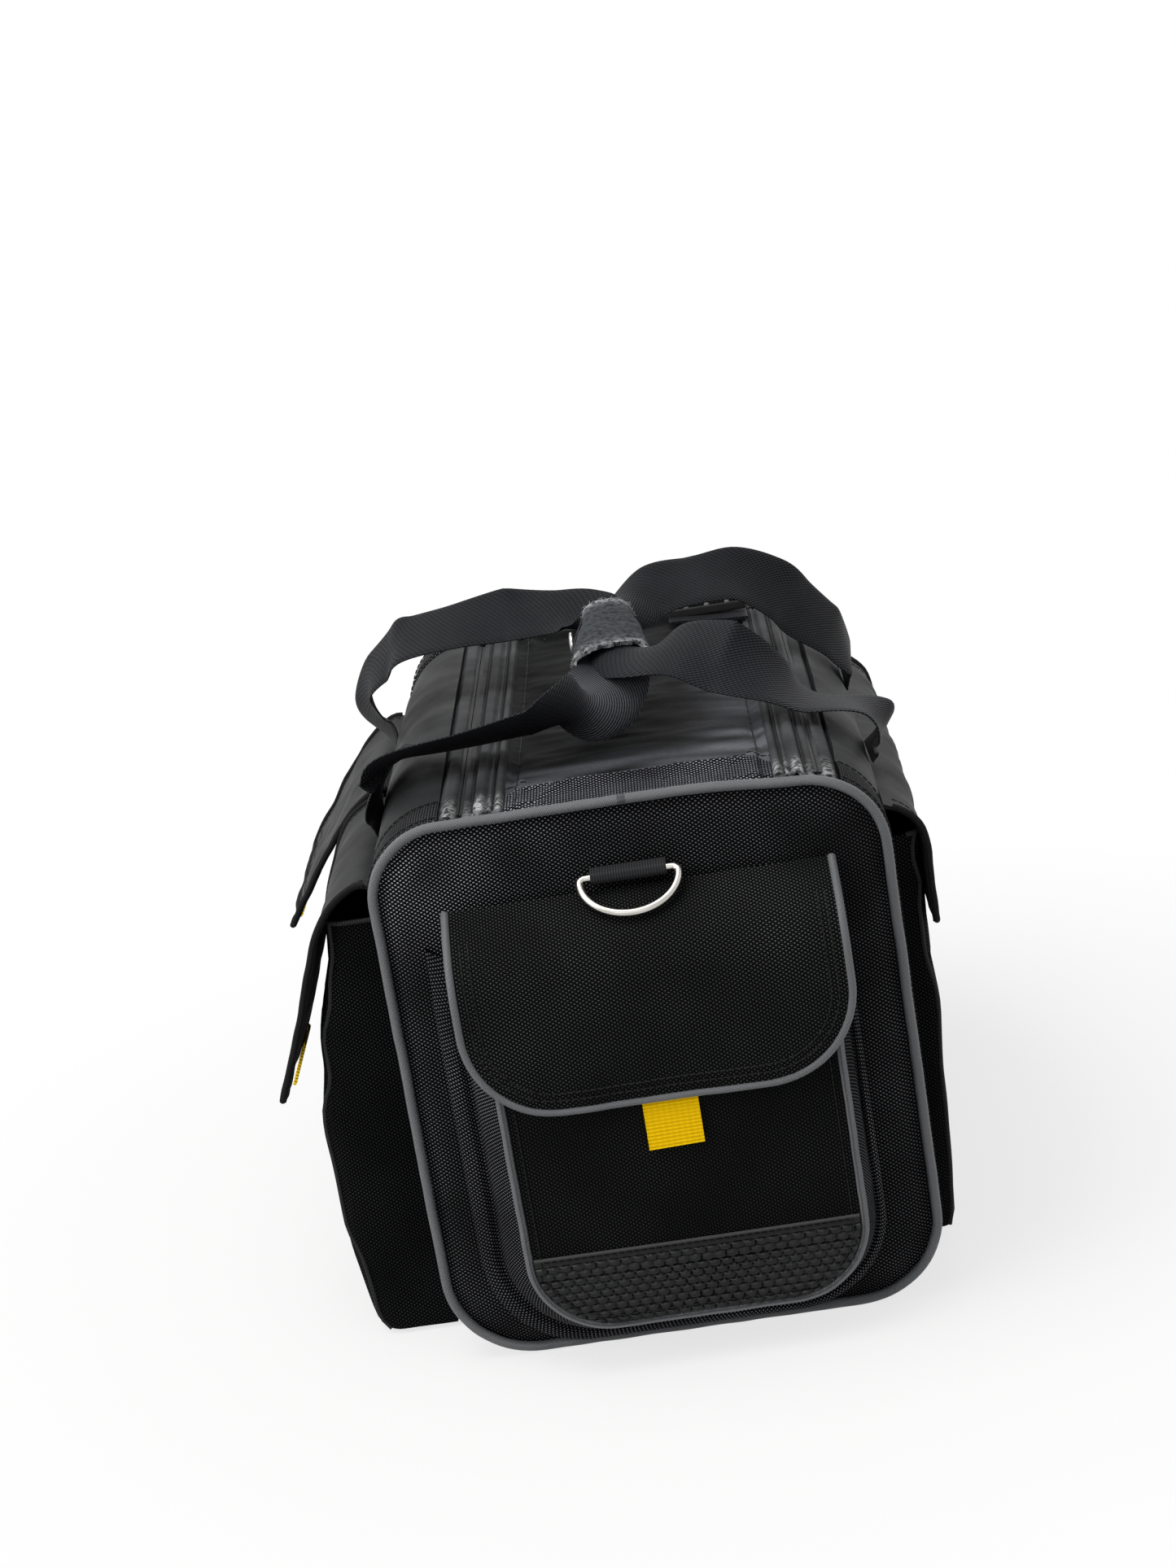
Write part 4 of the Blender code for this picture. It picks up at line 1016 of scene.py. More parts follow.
pocket = {
    'depth': 0.030, 'top': 0.190,
    'faceHalf': 0.0765, 'faceShift': 0.0045, 'faceBottom': 0.024, 'faceRadius': 0.036,
    'backHalf': 0.094, 'backShift': -0.002, 'backBottom': 0.008, 'backRadius': 0.046,
    'bellowsTop': 0.2070, 'piping': 0.0019, 'crown': 0.0012, 'patchTop': 0.062, 'patchThick': 0.0013,
    'bellowsCloth': 0.0016, 'faceCloth': 0.0020, 'patchCloth': 0.0008, 'sag': 0.0011,
}


def uOutline(half, shift, top, bottom, radius, count):
    left, right = shift - half, shift + half
    turns = np.radians(np.linspace(180, 270, 30))
    path = [(left, top)]
    for x, start in ((left + radius, 0), (right - radius, math.pi / 2)):
        path += [(x + radius * math.cos(t), bottom + radius + radius * math.sin(t)) for t in turns + start]
    path.append((right, top))
    path = np.array(path)
    reach = reachOf(path)
    places = np.linspace(0, reach[-1], count)
    return pathAt(path, reach, places), places


def atEnd(side, x, z, out):
    x, z, out = (np.asarray(part, float) for part in (x, z, out))
    return stacked(x, side * (bag['end'] + out), z)


def faceOut(x, z):  # how far the stuffed pocket face stands out
    u = (x - pocket['faceShift']) / pocket['faceHalf']
    v = (z - pocket['faceBottom']) / (pocket['top'] - pocket['faceBottom'])
    crown = pocket['crown'] * (1 - u ** 2) * np.sin(math.pi * np.clip(v, 0.02, 0.98))
    return pocket['depth'] - 0.0004 + crown


def uRows(half, shift, bottom, radius, top, rows, cols):
    z = bottom + (top - bottom) * np.linspace(0, 1, rows) ** 1.15
    rise = np.clip(z - bottom, 0, radius)
    reach = half - radius + np.sqrt(np.maximum(radius ** 2 - (radius - rise) ** 2, 0))
    across = np.linspace(-1, 1, cols)
    x = shift + reach[:, None] * across[None, :]
    return x, np.broadcast_to(z[:, None], x.shape)


bellows = [  # share of the way from back to face, stand-off
    (0.00, 0.0004), (0.02, 0.0060), (0.06, 0.0105), (0.30, 0.0125), (0.42, 0.0105),
    (0.50, 0.0110), (0.60, 0.0170), (0.80, 0.0225), (0.97, 0.0262),
]


def buildBellows(label, side):
    back, reach = uOutline(pocket['backHalf'], pocket['backShift'], pocket['bellowsTop'],
                           pocket['backBottom'], pocket['backRadius'], 120)
    face = uOutline(pocket['faceHalf'] + 0.001, pocket['faceShift'], pocket['top'],
                    pocket['faceBottom'] - 0.001, pocket['faceRadius'], 120)[0]
    rows, uvs = [], []
    for share, out in smoothPath(bellows, 4):
        flat = back + (face - back) * share
        # sewn flat to the panel at its top
        closed = smoothStep(0.178, 0.205, flat[:, 1]) * (1 - smoothStep(0.35, 0.75, share))
        points = atEnd(side, flat[:, 0], flat[:, 1], out * (1 - 0.9 * closed) + 0.0004)
        sag = pocket['sag'] * ripple(points, 0.022, 51) * math.sin(math.pi * min(max(share, 0.0), 1.0))
        points[:, 1] += side * sag
        points[:, 0] += 0.6 * sag
        rows.append(points)
        stride = np.linalg.norm(points - rows[-2], axis=1) if len(rows) > 1 else np.zeros(len(flat))
        uvs.append(stacked((uvs[-1][:, 0] if uvs else 0) + stride, reach))
    rows, uvs = np.array(rows), np.array(uvs)
    # painted highlight: the constant mark brightens the bellows' yarn crowns all over
    piece = sheetBody(label + 'PocketBellows', rows, -side * pocket['bellowsCloth'], uvs, cloth['weave'],
                      cloth['lining'], np.full(rows.shape[:2], 0.10))
    settle(piece, 'carcass', label + '_pocket_gusset', slot='weave')


def buildFace(label, side):
    inset = pocket['piping'] + 0.0001
    half, bottom = pocket['faceHalf'] - inset, pocket['faceBottom'] + inset
    radius, top, shift = pocket['faceRadius'] - inset, pocket['top'], pocket['faceShift']
    x, z = uRows(half, shift, bottom, radius, top, 80, 80)
    points = atEnd(side, x, z, faceOut(x, z) + 0.0005 * ripple(stacked(x, x * 0, z), 0.035, 61))
    piece = sheetBody(label + 'PocketFace', points, -side * pocket['faceCloth'], stacked(x, z),
                      cloth['face'], cloth['lining'])
    settle(piece, 'carcass', label + '_pocket_face', slot='weave')
    buildPatch(label, side, half, bottom, radius)
    path = uOutline(pocket['faceHalf'], shift, top, pocket['faceBottom'], pocket['faceRadius'], 190)[0]
    route = atEnd(side, path[:, 0], path[:, 1], np.full(len(path), pocket['depth'] - 0.0012))
    cord = tubeBody(label + 'PocketPiping', wobble(route, (4, 5, 6)), pocket['piping'], cloth['piping'])
    settle(cord, 'carcass', label + '_pocket_piping', slot='piping')
    x, z = uOutline(half - 0.0035, shift, top - 0.002, bottom + 0.0035, radius - 0.003, 220)[0].T
    sew('carcass', atEnd(side, x, z, faceOut(x, z) + 0.0014 * (z < 0.0615) + 0.0002))


emboss = {'wide': 0.0056, 'tall': 0.0036, 'depth': 0.0017}


def buildPatch(label, side, half, bottom, radius):
    x, z = uRows(half - 0.0003, pocket['faceShift'], bottom + 0.0003, radius, pocket['patchTop'], 84, 330)
    row = np.floor(z / emboss['tall'])
    u = x / emboss['wide'] + 0.5 * np.mod(row, 2)
    pillow = np.abs(np.sin(math.pi * u)) ** 0.55 * np.abs(np.sin(math.pi * z / emboss['tall'])) ** 0.55
    hem = smoothStep(pocket['patchTop'] - 0.0045, pocket['patchTop'] - 0.0035, z)
    relief = emboss['depth'] * (pillow * (1 - hem) - 0.5) + 0.0004 * hem
    points = atEnd(side, x, z, faceOut(x, z) + pocket['patchThick'] + relief)
    wear = 0.6 * (1 - smoothStep(0.0, 0.0018, pocket['patchTop'] - z))
    piece = sheetBody(label + 'PocketPatch', points, -side * pocket['patchCloth'], stacked(x, z),
                      cloth['vinyl'], wear=wear)
    settle(piece, 'carcass', label + '_pocket_patch', slot='patch')
    line = np.linspace(-half + 0.006, half - 0.006, 120) + pocket['faceShift']
    level = np.full(len(line), pocket['patchTop'] - 0.0022)
    sew('carcass', atEnd(side, line, level, faceOut(line, level) + pocket['patchThick'] + 0.0003))


flap = {
    'half': 0.085, 'shift': 0.003, 'bottom': 0.135, 'radius': 0.040, 'thick': 0.0020, 'hinge': 0.2238,
    'hingeOut': 0.0055, 'bend': 0.009, 'dent': 0.0034, 'piping': 0.0019, 'strip': 0.0006,
    'profile': [(0.0026, 0.2238), (0.0090, 0.2203), (0.0180, 0.2145), (0.0268, 0.2062), (0.0318, 0.1955),
                (0.0330, 0.1840), (0.0329, 0.1700), (0.0327, 0.1520), (0.0327, 0.1350)],
    # painted sheen and painted shade on the flap: middle, size and strength of the lighter and darker
    # places
    'rubbedAndPaintedLight': [(0.062, 0.200, 0.020, 0.022, 0.10), (-0.060, 0.175, 0.022, 0.030, 0.05),
               (0.0, 0.180, 0.030, 0.022, -0.05)],
}
flapLine = spread(smoothPath(flap['profile'], 12), 0.0014)
flapReach = reachOf(flapLine)


def flapOut(z):
    return np.interp(-np.asarray(z, float), -flapLine[:, 1], flapLine[:, 0])


def flapHalf(z):
    radius = flap['radius']
    rise = np.clip(np.asarray(z, float) - flap['bottom'], 0, radius)
    return flap['half'] - radius + np.sqrt(np.maximum(radius ** 2 - (radius - rise) ** 2, 0))


def flapPoint(side, x, z, proud=0.0):
    flat = stacked(x, np.zeros_like(x), z)
    dent = flap['dent'] * ripple(flat, 0.046, 71) + 0.0009 * ripple(flat * (1, 1, 0.5), 0.017, 72)
    hang = smoothStep(flap['hinge'], flap['hinge'] - 0.027, z)
    dent = np.clip(dent, -0.0007, flap['dent']) * hang
    return atEnd(side, x, z, flapOut(z) + flap['thick'] + dent + proud)


def buildFlap(label, side):
    z = flapLine[:, 1]
    across = np.linspace(-1, 1, 110)
    x = flap['shift'] + flapHalf(z)[:, None] * across[None, :]
    level = np.broadcast_to(z[:, None], x.shape)
    grid = flapPoint(side, x, level)
    uv = stacked(x, np.broadcast_to(-flapReach[:, None], x.shape))
    # painted sheen and painted shade, carried by the mark into the yarn crowns
    wear = 0.03
    for centreX, centreZ, wide, tall, share in flap['rubbedAndPaintedLight']:
        wear = wear + share * np.exp(-((x - centreX) / wide) ** 2 - ((level - centreZ) / tall) ** 2)
    piece = sheetBody(label + 'Flap', grid, side * flap['thick'], uv, cloth['flap'], cloth['lining'],
                      np.clip(wear, 0, 1))
    body = label + '_cover'
    hingeY = side * (bag['end'] + flap['hingeOut'])
    fold = (0, hingeY, flap['hinge']), (0, hingeY, flap['hinge'] - flap['bend'])
    bend(piece, body, 'weave', label + '_flap', fold=fold)
    wide, tall = 2 * flap['half'], flapReach[-1]
    buildFlapEdge(label, side, body, fold)
    buildPullTab(label, side, body)


def flapEdgePath(inset, top=0.2232):
    turns = np.radians(np.linspace(180, 360, 80))
    radius = flap['radius'] - inset
    centre = flap['half'] - flap['radius']
    low = flap['bottom'] + flap['radius']
    corner = [(radius * math.cos(t) + math.copysign(centre, t - 1.5 * math.pi), low + radius * math.sin(t))
              for t in turns]
    path = np.array([(-flap['half'] + inset, top), *corner, (flap['half'] - inset, top)])
    return spread(path + np.array([flap['shift'], 0]), 0.0018)


def buildFlapEdge(label, side, body, fold):
    path = flapEdgePath(-0.0017)
    route = flapPoint(side, path[:, 0], path[:, 1], -flap['thick'] / 2)
    cord = tubeBody(label + 'FlapPiping', route, flap['piping'], cloth['piping'])
    bend(cord, body, 'piping', label + '_flap_piping', fold=fold)
    for inset in (0.0040, 0.0075):
        path = flapEdgePath(inset, top=0.213)
        sew(body, flapPoint(side, path[:, 0], path[:, 1], sewing['proud']))
    loopLow = flap['bottom'] + 0.011
    x, z = np.linspace(-0.037, 0.043, 50), np.linspace(loopLow, loopLow + 0.022, 16)
    x, z = np.meshgrid(x, z, indexing='ij')
    fuzz = 0.00012 * ripple(stacked(x, x * 0, z), 0.0022, 8)
    strips = (
        ('HookStrip', '_hook_strip', flapOut(z) - 0.0009, body),
        ('LoopStrip', '_loop_strip', faceOut(x, z) + 0.0003, 'carcass'),
    )
    for name, node, out, owner in strips:
        points = atEnd(side, x, z, out + fuzz)
        strip = sheetBody(label + name, points, side * flap['strip'], stacked(x, z), cloth['hook'])
        settle(strip, owner, label + node, slot='hook')


tab = {'width': 0.025, 'drop': 0.026, 'hidden': 0.008, 'thick': 0.0013, 'rib': 0.0017, 'ribDepth': 0.00022,
       'curl': 0.0009, 'skew': 0.0006, 'off': 0.0003}


def buildPullTab(label, side, body):
    rows = np.linspace(flap['bottom'] + tab['hidden'], flap['bottom'] - tab['drop'], 150)
    x, z = np.meshgrid(np.linspace(-tab['width'] / 2, tab['width'] / 2, 22), rows, indexing='xy')
    rib = tab['ribDepth'] * np.sin(2 * math.pi * z / tab['rib'])
    lower = smoothStep(flap['bottom'], flap['bottom'] - tab['drop'], z)
    curl, skew = tab['curl'] * lower, tab['skew'] * (x / tab['width']) * lower
    hang = flapOut(flap['bottom']) - tab['off']
    points = atEnd(side, x + flap['shift'], z + skew, hang - tab['off'] + rib + curl)
    piece = sheetBody(label + 'PullTab', points, side * tab['thick'], stacked(x, z), cloth['yellow'])
    settle(piece, body, label + '_pull_tab', slot='yellow')


ring = {
    'wire': 0.0018, 'half': 0.0222, 'depth': 0.0208, 'out': 0.0055, 'z': 0.2300, 'tilt': math.radians(52),
    'tabHalf': 0.017, 'tabThick': 0.0010, 'tabStep': 0.0008,
}


def buildRing(label, side):
    straight = ring['half'] - ring['wire']
    turns = np.linspace(0, math.pi, 49)
    drop = ring['wire'] + (ring['depth'] - ring['wire']) * np.sin(turns)
    bar = stacked(np.linspace(-straight, straight, 13), np.zeros(13))
    outline = np.concatenate([bar, stacked(ring['half'] * np.cos(turns), drop)])
    outline = spread(np.concatenate([outline, outline[:1]]), 0.0012)[:-1]
    route = atEnd(side, outline[:, 0], ring['z'] - outline[:, 1] * math.cos(ring['tilt']),
                  ring['out'] + outline[:, 1] * math.sin(ring['tilt']))
    bent = tubeBody(label + 'Ring', route, ring['wire'], cloth['nickel'], sides=18, closed=True)
    settle(bent, label + '_ring', label + '_d_ring', slot='nickel')
    inner = ring['wire'] + 0.0003
    turns = np.radians(np.linspace(-90, 90, 26))
    fold = [(0.0004, ring['z'] - inner)]
    fold += [(ring['out'] + inner * math.cos(t), ring['z'] + inner * math.sin(t)) for t in turns]
    fold.append((0.0004, ring['z'] + inner))
    fold = spread(fold, ring['tabStep'])
    x = np.linspace(-ring['tabHalf'], ring['tabHalf'], 40)
    x, k = np.meshgrid(x, np.arange(len(fold)), indexing='xy')
    grid = atEnd(side, x, fold[k, 1], fold[k, 0])
    uv = stacked(k * ring['tabStep'], x)
    wrapped = sheetBody(label + 'RingTab', grid, side * ring['tabThick'], uv, cloth['greyTab'])
    settle(wrapped, 'carcass', label + '_d_ring_tab', slot='grey_tab')


for label, side in (('front', -1), ('rear', 1)):
    buildBellows(label, side)
    buildFace(label, side)
    buildFlap(label, side)
    buildRing(label, side)
print('end pockets done')


# Side pockets with their flaps

leftDepths = [  # height and how far the pouch stands out there
    (0.0, 0.036), (0.012, 0.0410), (0.090, 0.0470), (0.145, 0.0420), (0.185, 0.0315), (0.209, 0.0260)]
pouches = {  # the flap's profile runs out and down from its hinge; fold is where its bend starts and ends
    'left_front': {
        'sign': -1, 'centre': -0.076, 'half': 0.065, 'bottom': 0.002, 'corner': 0.010, 'wall': 0.0022,
        'seed': 81, 'depths': leftDepths, 'fold': (0.004, 0.036),
        'flap': [(0.0, 0.0), (0.010, 0.0005), (0.0255, -0.011), (0.036, -0.034), (0.0480, -0.066),
                 (0.061, -0.099)],
    },
    'left_rear': {
        'sign': -1, 'centre': 0.076, 'half': 0.065, 'bottom': 0.002, 'corner': 0.010, 'wall': 0.0022,
        'seed': 82, 'depths': leftDepths, 'fold': (0.004, 0.036),
        'flap': [(0.0, 0.0), (0.010, 0.0005), (0.0255, -0.011), (0.040, -0.028), (0.0540, -0.047),
                 (0.065, -0.065)],
    },
    'right': {
        'sign': 1, 'centre': 0.0, 'half': 0.135, 'bottom': 0.012, 'corner': 0.006, 'wall': 0.0020,
        'seed': 101, 'fold': (0.002, 0.016),
        'depths': [(0.0, 0.007), (0.012, 0.0095), (0.080, 0.0130), (0.138, 0.0150), (0.199, 0.0150)],
        'flap': [(0.0, 0.0), (0.008, -0.004), (0.0155, -0.012), (0.0178, -0.024), (0.0180, -0.042),
                 (0.0176, -0.060)],
    },
}
sideWall = bag['half'] + bag['seam']


def pouchOutline(near, depth, y0, y1, corner, sign, inset):
    a, b = y0 + inset, y1 - inset
    far = near + depth - inset
    turn = np.radians(np.linspace(0, 90, 7))
    r = max(corner - inset, 0.001)
    path = [(near + inset, a)]
    path += [(far - r + r * math.sin(t), a + r - r * math.cos(t)) for t in turn]
    path += [(far - r + r * math.cos(t), b - r + r * math.sin(t)) for t in turn]
    path += [(near + inset, b)]
    path = np.array(path)
    closed = np.concatenate([path, path[:1]])
    even = [spread(closed[i:i + 2], 0.006)[:-1] for i in range(len(closed) - 1)]
    return np.concatenate(even) * np.array([sign, 1])


pouchCloth = {'wave': 0.0016, 'crease': 0.0010, 'seam': 0.0011, 'hem': 0.0012}


def buildPouch(name, node, facts, y0, y1):
    sign, wall, bottom, seed = (facts[k] for k in ('sign', 'wall', 'bottom', 'seed'))
    levels = spread(smoothPath(facts['depths'], 8), 0.006)
    loops, uvs = [], []
    base = None

    def ring(z, depth, inset):
        nonlocal base
        flat = pouchOutline(sideWall, depth, y0, y1, facts['corner'], sign, inset)
        if base is None:
            base = len(flat)
        if len(flat) != base:
            closed = np.concatenate([flat, flat[:1]])
            reach = reachOf(closed)
            places = np.linspace(0, reach[-1], base, endpoint=False)
            flat = pathAt(closed, reach, places)
        points = np.c_[flat, np.full(len(flat), z)]
        free = smoothStep(0.004, 0.012, np.abs(points[:, 0]) - sideWall)
        soft = pouchCloth['wave'] * ripple(points, 0.030, seed)
        soft = soft + pouchCloth['crease'] * ripple(points * (1, 1, 0.4), 0.012, seed + 1)
        points[:, 0] += sign * soft * free
        points[:, 1] += 0.7 * soft * free * np.sign(points[:, 1] - (y0 + y1) / 2)
        return points
    for z, depth in levels:
        loops.append(ring(bottom + z, depth, 0.0))
    for z, depth in levels[::-1]:
        loops.append(ring(bottom + max(z, wall), depth, wall))
    for points in loops:
        uvs.append(stacked(reachOf(points), points[:, 2]))
    piece = loopBody(name, loops, uvs, cloth['pouch'], lining=cloth['lining'], liningFrom=len(levels))
    settle(piece, 'carcass', node, slot='weave')
    outer = np.array(loops[:len(levels)])
    for word, way in (('Front', -1), ('Rear', 1)):  # a bound seam down each outer corner
        reach = np.abs(outer[..., 0]) + way * outer[..., 1]
        line = outer[np.arange(len(levels)), np.argmax(reach, axis=1)]
        line[1:-1] = (line[:-2] + 2 * line[1:-1] + line[2:]) / 4
        seam = tubeBody(name + word + 'Seam', line, pouchCloth['seam'], cloth['greyTab'], sides=8)
        settle(seam, 'carcass', slot='webbing')
    hem = outer[-1][np.abs(outer[-1][:, 0]) > sideWall + 0.003]
    hem = tubeBody(name + 'Hem', hem, pouchCloth['hem'], cloth['greyTab'], sides=8)
    settle(hem, 'carcass', slot='webbing')


sideFlap = {
    'thick': 0.0018, 'overlap': 0.003, 'off': 0.0004, 'drop': 0.034, 'wave': 0.0016, 'binding': 0.0016,
}


def flapSheet(name, node, body, profile, y0, y1, sign, seed):
    line = spread(smoothPath(profile, 10), 0.0022)
    reach = reachOf(line)
    y = np.linspace(y0, y1, 70)
    grid = np.zeros((len(line), len(y), 3))
    grid[..., 0] = sign * line[:, 0][:, None]
    grid[..., 1] = y[None, :]
    grid[..., 2] = line[:, 1][:, None]
    waves = sideFlap['wave'] * ripple(grid, 0.030, seed) + 0.0007 * ripple(grid, 0.011, seed + 1)
    waves = waves * smoothStep(0.05, 0.4, reach / reach[-1])[:, None]
    grid += gridNormals(grid) * waves[..., None]
    uv = stacked(*np.broadcast_arrays(y[None, :], -reach[:, None]))
    piece = sheetBody(name, grid, -sign * sideFlap['thick'], uv, cloth['coated'], cloth['lining'])
    bend(piece, body, 'coated', node)
    for path in (grid[3:-3, 3], grid[-3, 3:-3], grid[3:-3, -4], grid[-6, 4:-4]):
        sew(body, path)
    bindEdge(name + 'Binding', grid, body)
    return grid


def bindEdge(name, grid, body):  # a folded tape sewn round three sides of a flap
    path = np.concatenate([grid[2:, 0], grid[-1, 1:-1], grid[:1:-1, -1]])
    cord = tubeBody(name, spread(path, 0.003), sideFlap['binding'], cloth['tape'], sides=10)
    bend(cord, body, 'webbing')


def sideTab(name, node, body, grid, flip):
    middle = grid.shape[1] // 2
    end = grid[-1, middle]
    run = end - grid[-6, middle]
    run /= np.linalg.norm(run)
    across = np.array([0, 1.0, 0])
    under = np.cross(run, across) * flip
    rows = np.linspace(-tab['hidden'], tab['drop'] / 2 + 0.002, 70)
    cols = np.linspace(-tab['width'] / 2, tab['width'] / 2, 18)
    points = end + rows[:, None, None] * run + cols[None, :, None] * across + under * 0.0022
    points = points + under * (tab['ribDepth'] * np.sin(2 * math.pi * rows / tab['rib']))[:, None, None]
    uv = stacked(*np.broadcast_arrays(cols[None, :], rows[:, None]))
    settle(sheetBody(name, points, tab['thick'] * flip, uv, cloth['yellow']), body, node, slot='yellow')


flapHinge = bag['height'] - bag['topRadius']


def buildSidePocket(label, facts):
    sign, body = facts['sign'], label + '_cover'
    first, *others = label.split('_')
    word = first + ''.join(other.capitalize() for other in others)
    y0, y1 = facts['centre'] - facts['half'], facts['centre'] + facts['half']
    buildPouch(word + 'Pouch', label + '_pocket', facts, y0, y1)
    profile = [(sideWall + out + sideFlap['off'], flapHinge + drop) for out, drop in facts['flap']]
    near, far = (sign * (sideWall + out) for out in facts['fold'])
    folds[body] = (near, 0, flapHinge), (far, 0, flapHinge - sideFlap['drop'])
    grid = flapSheet(word + 'Flap', label + '_flap', body, profile, y0 - sideFlap['overlap'],
                     y1 + sideFlap['overlap'], sign, facts['seed'] + 10)
    sideTab(word + 'PullTab', label + '_pull_tab', body, grid, -sign)


for label, facts in pouches.items():
    buildSidePocket(label, facts)
print('side pockets done')


# Webbing handles, grip wrap and snap

web = {
    'width': 0.038, 'thick': 0.0016, 'front': -0.070, 'rear': 0.064, 'end': 0.031, 'steps': 10,
    # strengths of the painted shade on the rear runs and of the painted highlight on the left strap's
    # roll, then the roll's row
    'rearTone': -0.07, 'rollPaintedHighlight': 0.60, 'rollRow': 6.9,
}
wrap = {
    'front': -0.052, 'rear': 0.004, 'centre': 0.003, 'half': 0.0165, 'low': 0.020, 'high': 0.043,
    'wall': 0.0025, 'slope': 0.009, 'taper': 0.0055, 'thick': 0.0021, 'lean': 0.009,
    'crumple': 0.0009, 'crease': 0.0005, 'ragged': 0.0012, 'snapAt': 0.62,
}
webSeat = sideWall + web['thick'] / 2


def handleRoutes():  # place, width direction and curl across the width
    top, seat, front, rear = bag['height'], webSeat, web['front'], web['rear']
    wrapFront, wrapRear = wrap['front'], wrap['rear']
    flat, wide = (0, 1, 0), (1, 0, 0)
    left = [
        ((-seat, front, top - web['end']), flat, 0),
        ((-seat - 0.0004, front - 0.001, top - 0.018), (0.12, 0.99, 0), 0),
        ((-seat + 0.009, front - 0.010, top + 0.0005), (0.06, 0.97, -0.2), 0),
        ((-0.098, front - 0.024, top + 0.0085), (-0.03, 0.93, -0.36), -0.1),
        ((-0.066, front - 0.0305, top + 0.0125), (0, 0.90, -0.43), -0.15),
        ((-0.038, front - 0.033, top + 0.0145), (0.06, 0.86, -0.50), -0.4),
        ((-0.0165, wrapFront - 0.0435, top + 0.0180), (0.42, 0.70, -0.56), -1.0),
        ((-0.002, wrapFront - 0.0265, top + 0.0180), (0.86, 0.26, -0.42), -0.9),
        ((0.002, wrapFront - 0.005, top + 0.024), (0.98, 0, -0.08), 0.1),
        ((0.002, wrapFront + 0.022, top + 0.0265), wide, 1.1),
        ((0.002, wrapRear + 0.001, top + 0.0275), wide, 1.5),
        ((-0.010, wrapRear + 0.017, top + 0.033), (0.75, 0.60, 0.20), 0.7),
        ((-0.028, wrapRear + 0.023, top + 0.0375), (0.25, 0.88, 0.36), 0),
        ((-0.050, wrapRear + 0.026, top + 0.0385), (0, 0.85, 0.52), 0.1),
        ((-0.078, wrapRear + 0.027, top + 0.037), (-0.05, 0.93, 0.36), 0),
        ((-0.1025, wrapRear + 0.033, top + 0.0325), (-0.05, 0.95, 0.30), 0),
        ((-seat + 0.0046, wrapRear + 0.042, top + 0.0235), (-0.12, 0.95, 0.26), 0),
        ((-seat - 0.0074, wrapRear + 0.051, top + 0.0105), (-0.20, 0.97, 0.05), 0),
        ((-seat - 0.0104, rear - 0.004, top - 0.006), (-0.38, 0.90, -0.20), 0),
        ((-seat - 0.0054, rear - 0.001, top - 0.019), (-0.38, 0.91, -0.15), 0),
        ((-seat, rear, top - web['end']), flat, 0),
    ]
    right = [
        ((seat, front, top - web['end']), flat, 0),
        ((seat + 0.0052, front, top - 0.0255), (0.08, 0.99, 0), 0),
        ((seat + 0.0085, front - 0.003, top - 0.0165), (0.34, 0.92, -0.12), 0),
        ((seat - 0.0011, front - 0.005, top - 0.0065), (0.28, 0.94, -0.18), 0),
        ((seat - 0.025, front - 0.0085, top + 0.002), (0.20, 0.98, -0.07), 0),
        ((0.0785, front - 0.010, top + 0.014), (0.30, 0.91, 0.30), 0.1),
        ((0.056, front - 0.0075, top + 0.028), (0.42, 0.55, 0.72), 0.2),
        ((0.036, wrapFront - 0.017, top + 0.0335), (0.30, 0.85, 0.42), 0),
        ((0.0175, wrapFront - 0.008, top + 0.032), (0.75, 0.65, 0.10), -0.6),
        ((0.004, wrapFront + 0.012, top + 0.0335), wide, -1.3),
        ((0.004, wrapRear + 0.001, top + 0.0385), wide, -1.6),
        ((0.0165, wrapRear + 0.016, top + 0.0395), (0.80, -0.55, -0.25), -0.8),
        ((0.030, wrapRear + 0.022, top + 0.0415), (0.42, -0.78, -0.45), 0),
        ((0.050, wrapRear + 0.026, top + 0.042), (-0.02, -0.90, -0.42), 0),
        ((0.070, wrapRear + 0.030, top + 0.040), (-0.25, -0.85, -0.45), 0.1),
        ((0.089, wrapRear + 0.036, top + 0.0285), (-0.42, -0.78, -0.45), 0),
        ((seat - 0.0185, wrapRear + 0.043, top + 0.0145), (-0.50, -0.80, -0.33), 0),
        ((seat - 0.0028, wrapRear + 0.050, top - 0.003), (-0.44, -0.88, -0.06), 0),
        ((seat + 0.004, rear - 0.001, top - 0.018), (-0.10, -0.99, 0), 0),
        ((seat, rear, top - web['end']), (0, -1, 0), 0),
    ]
    return {'left': left, 'right': right}


creases = {'left': (2, 5, 13), 'right': (6, 13)}  # rows where the webbing is folded


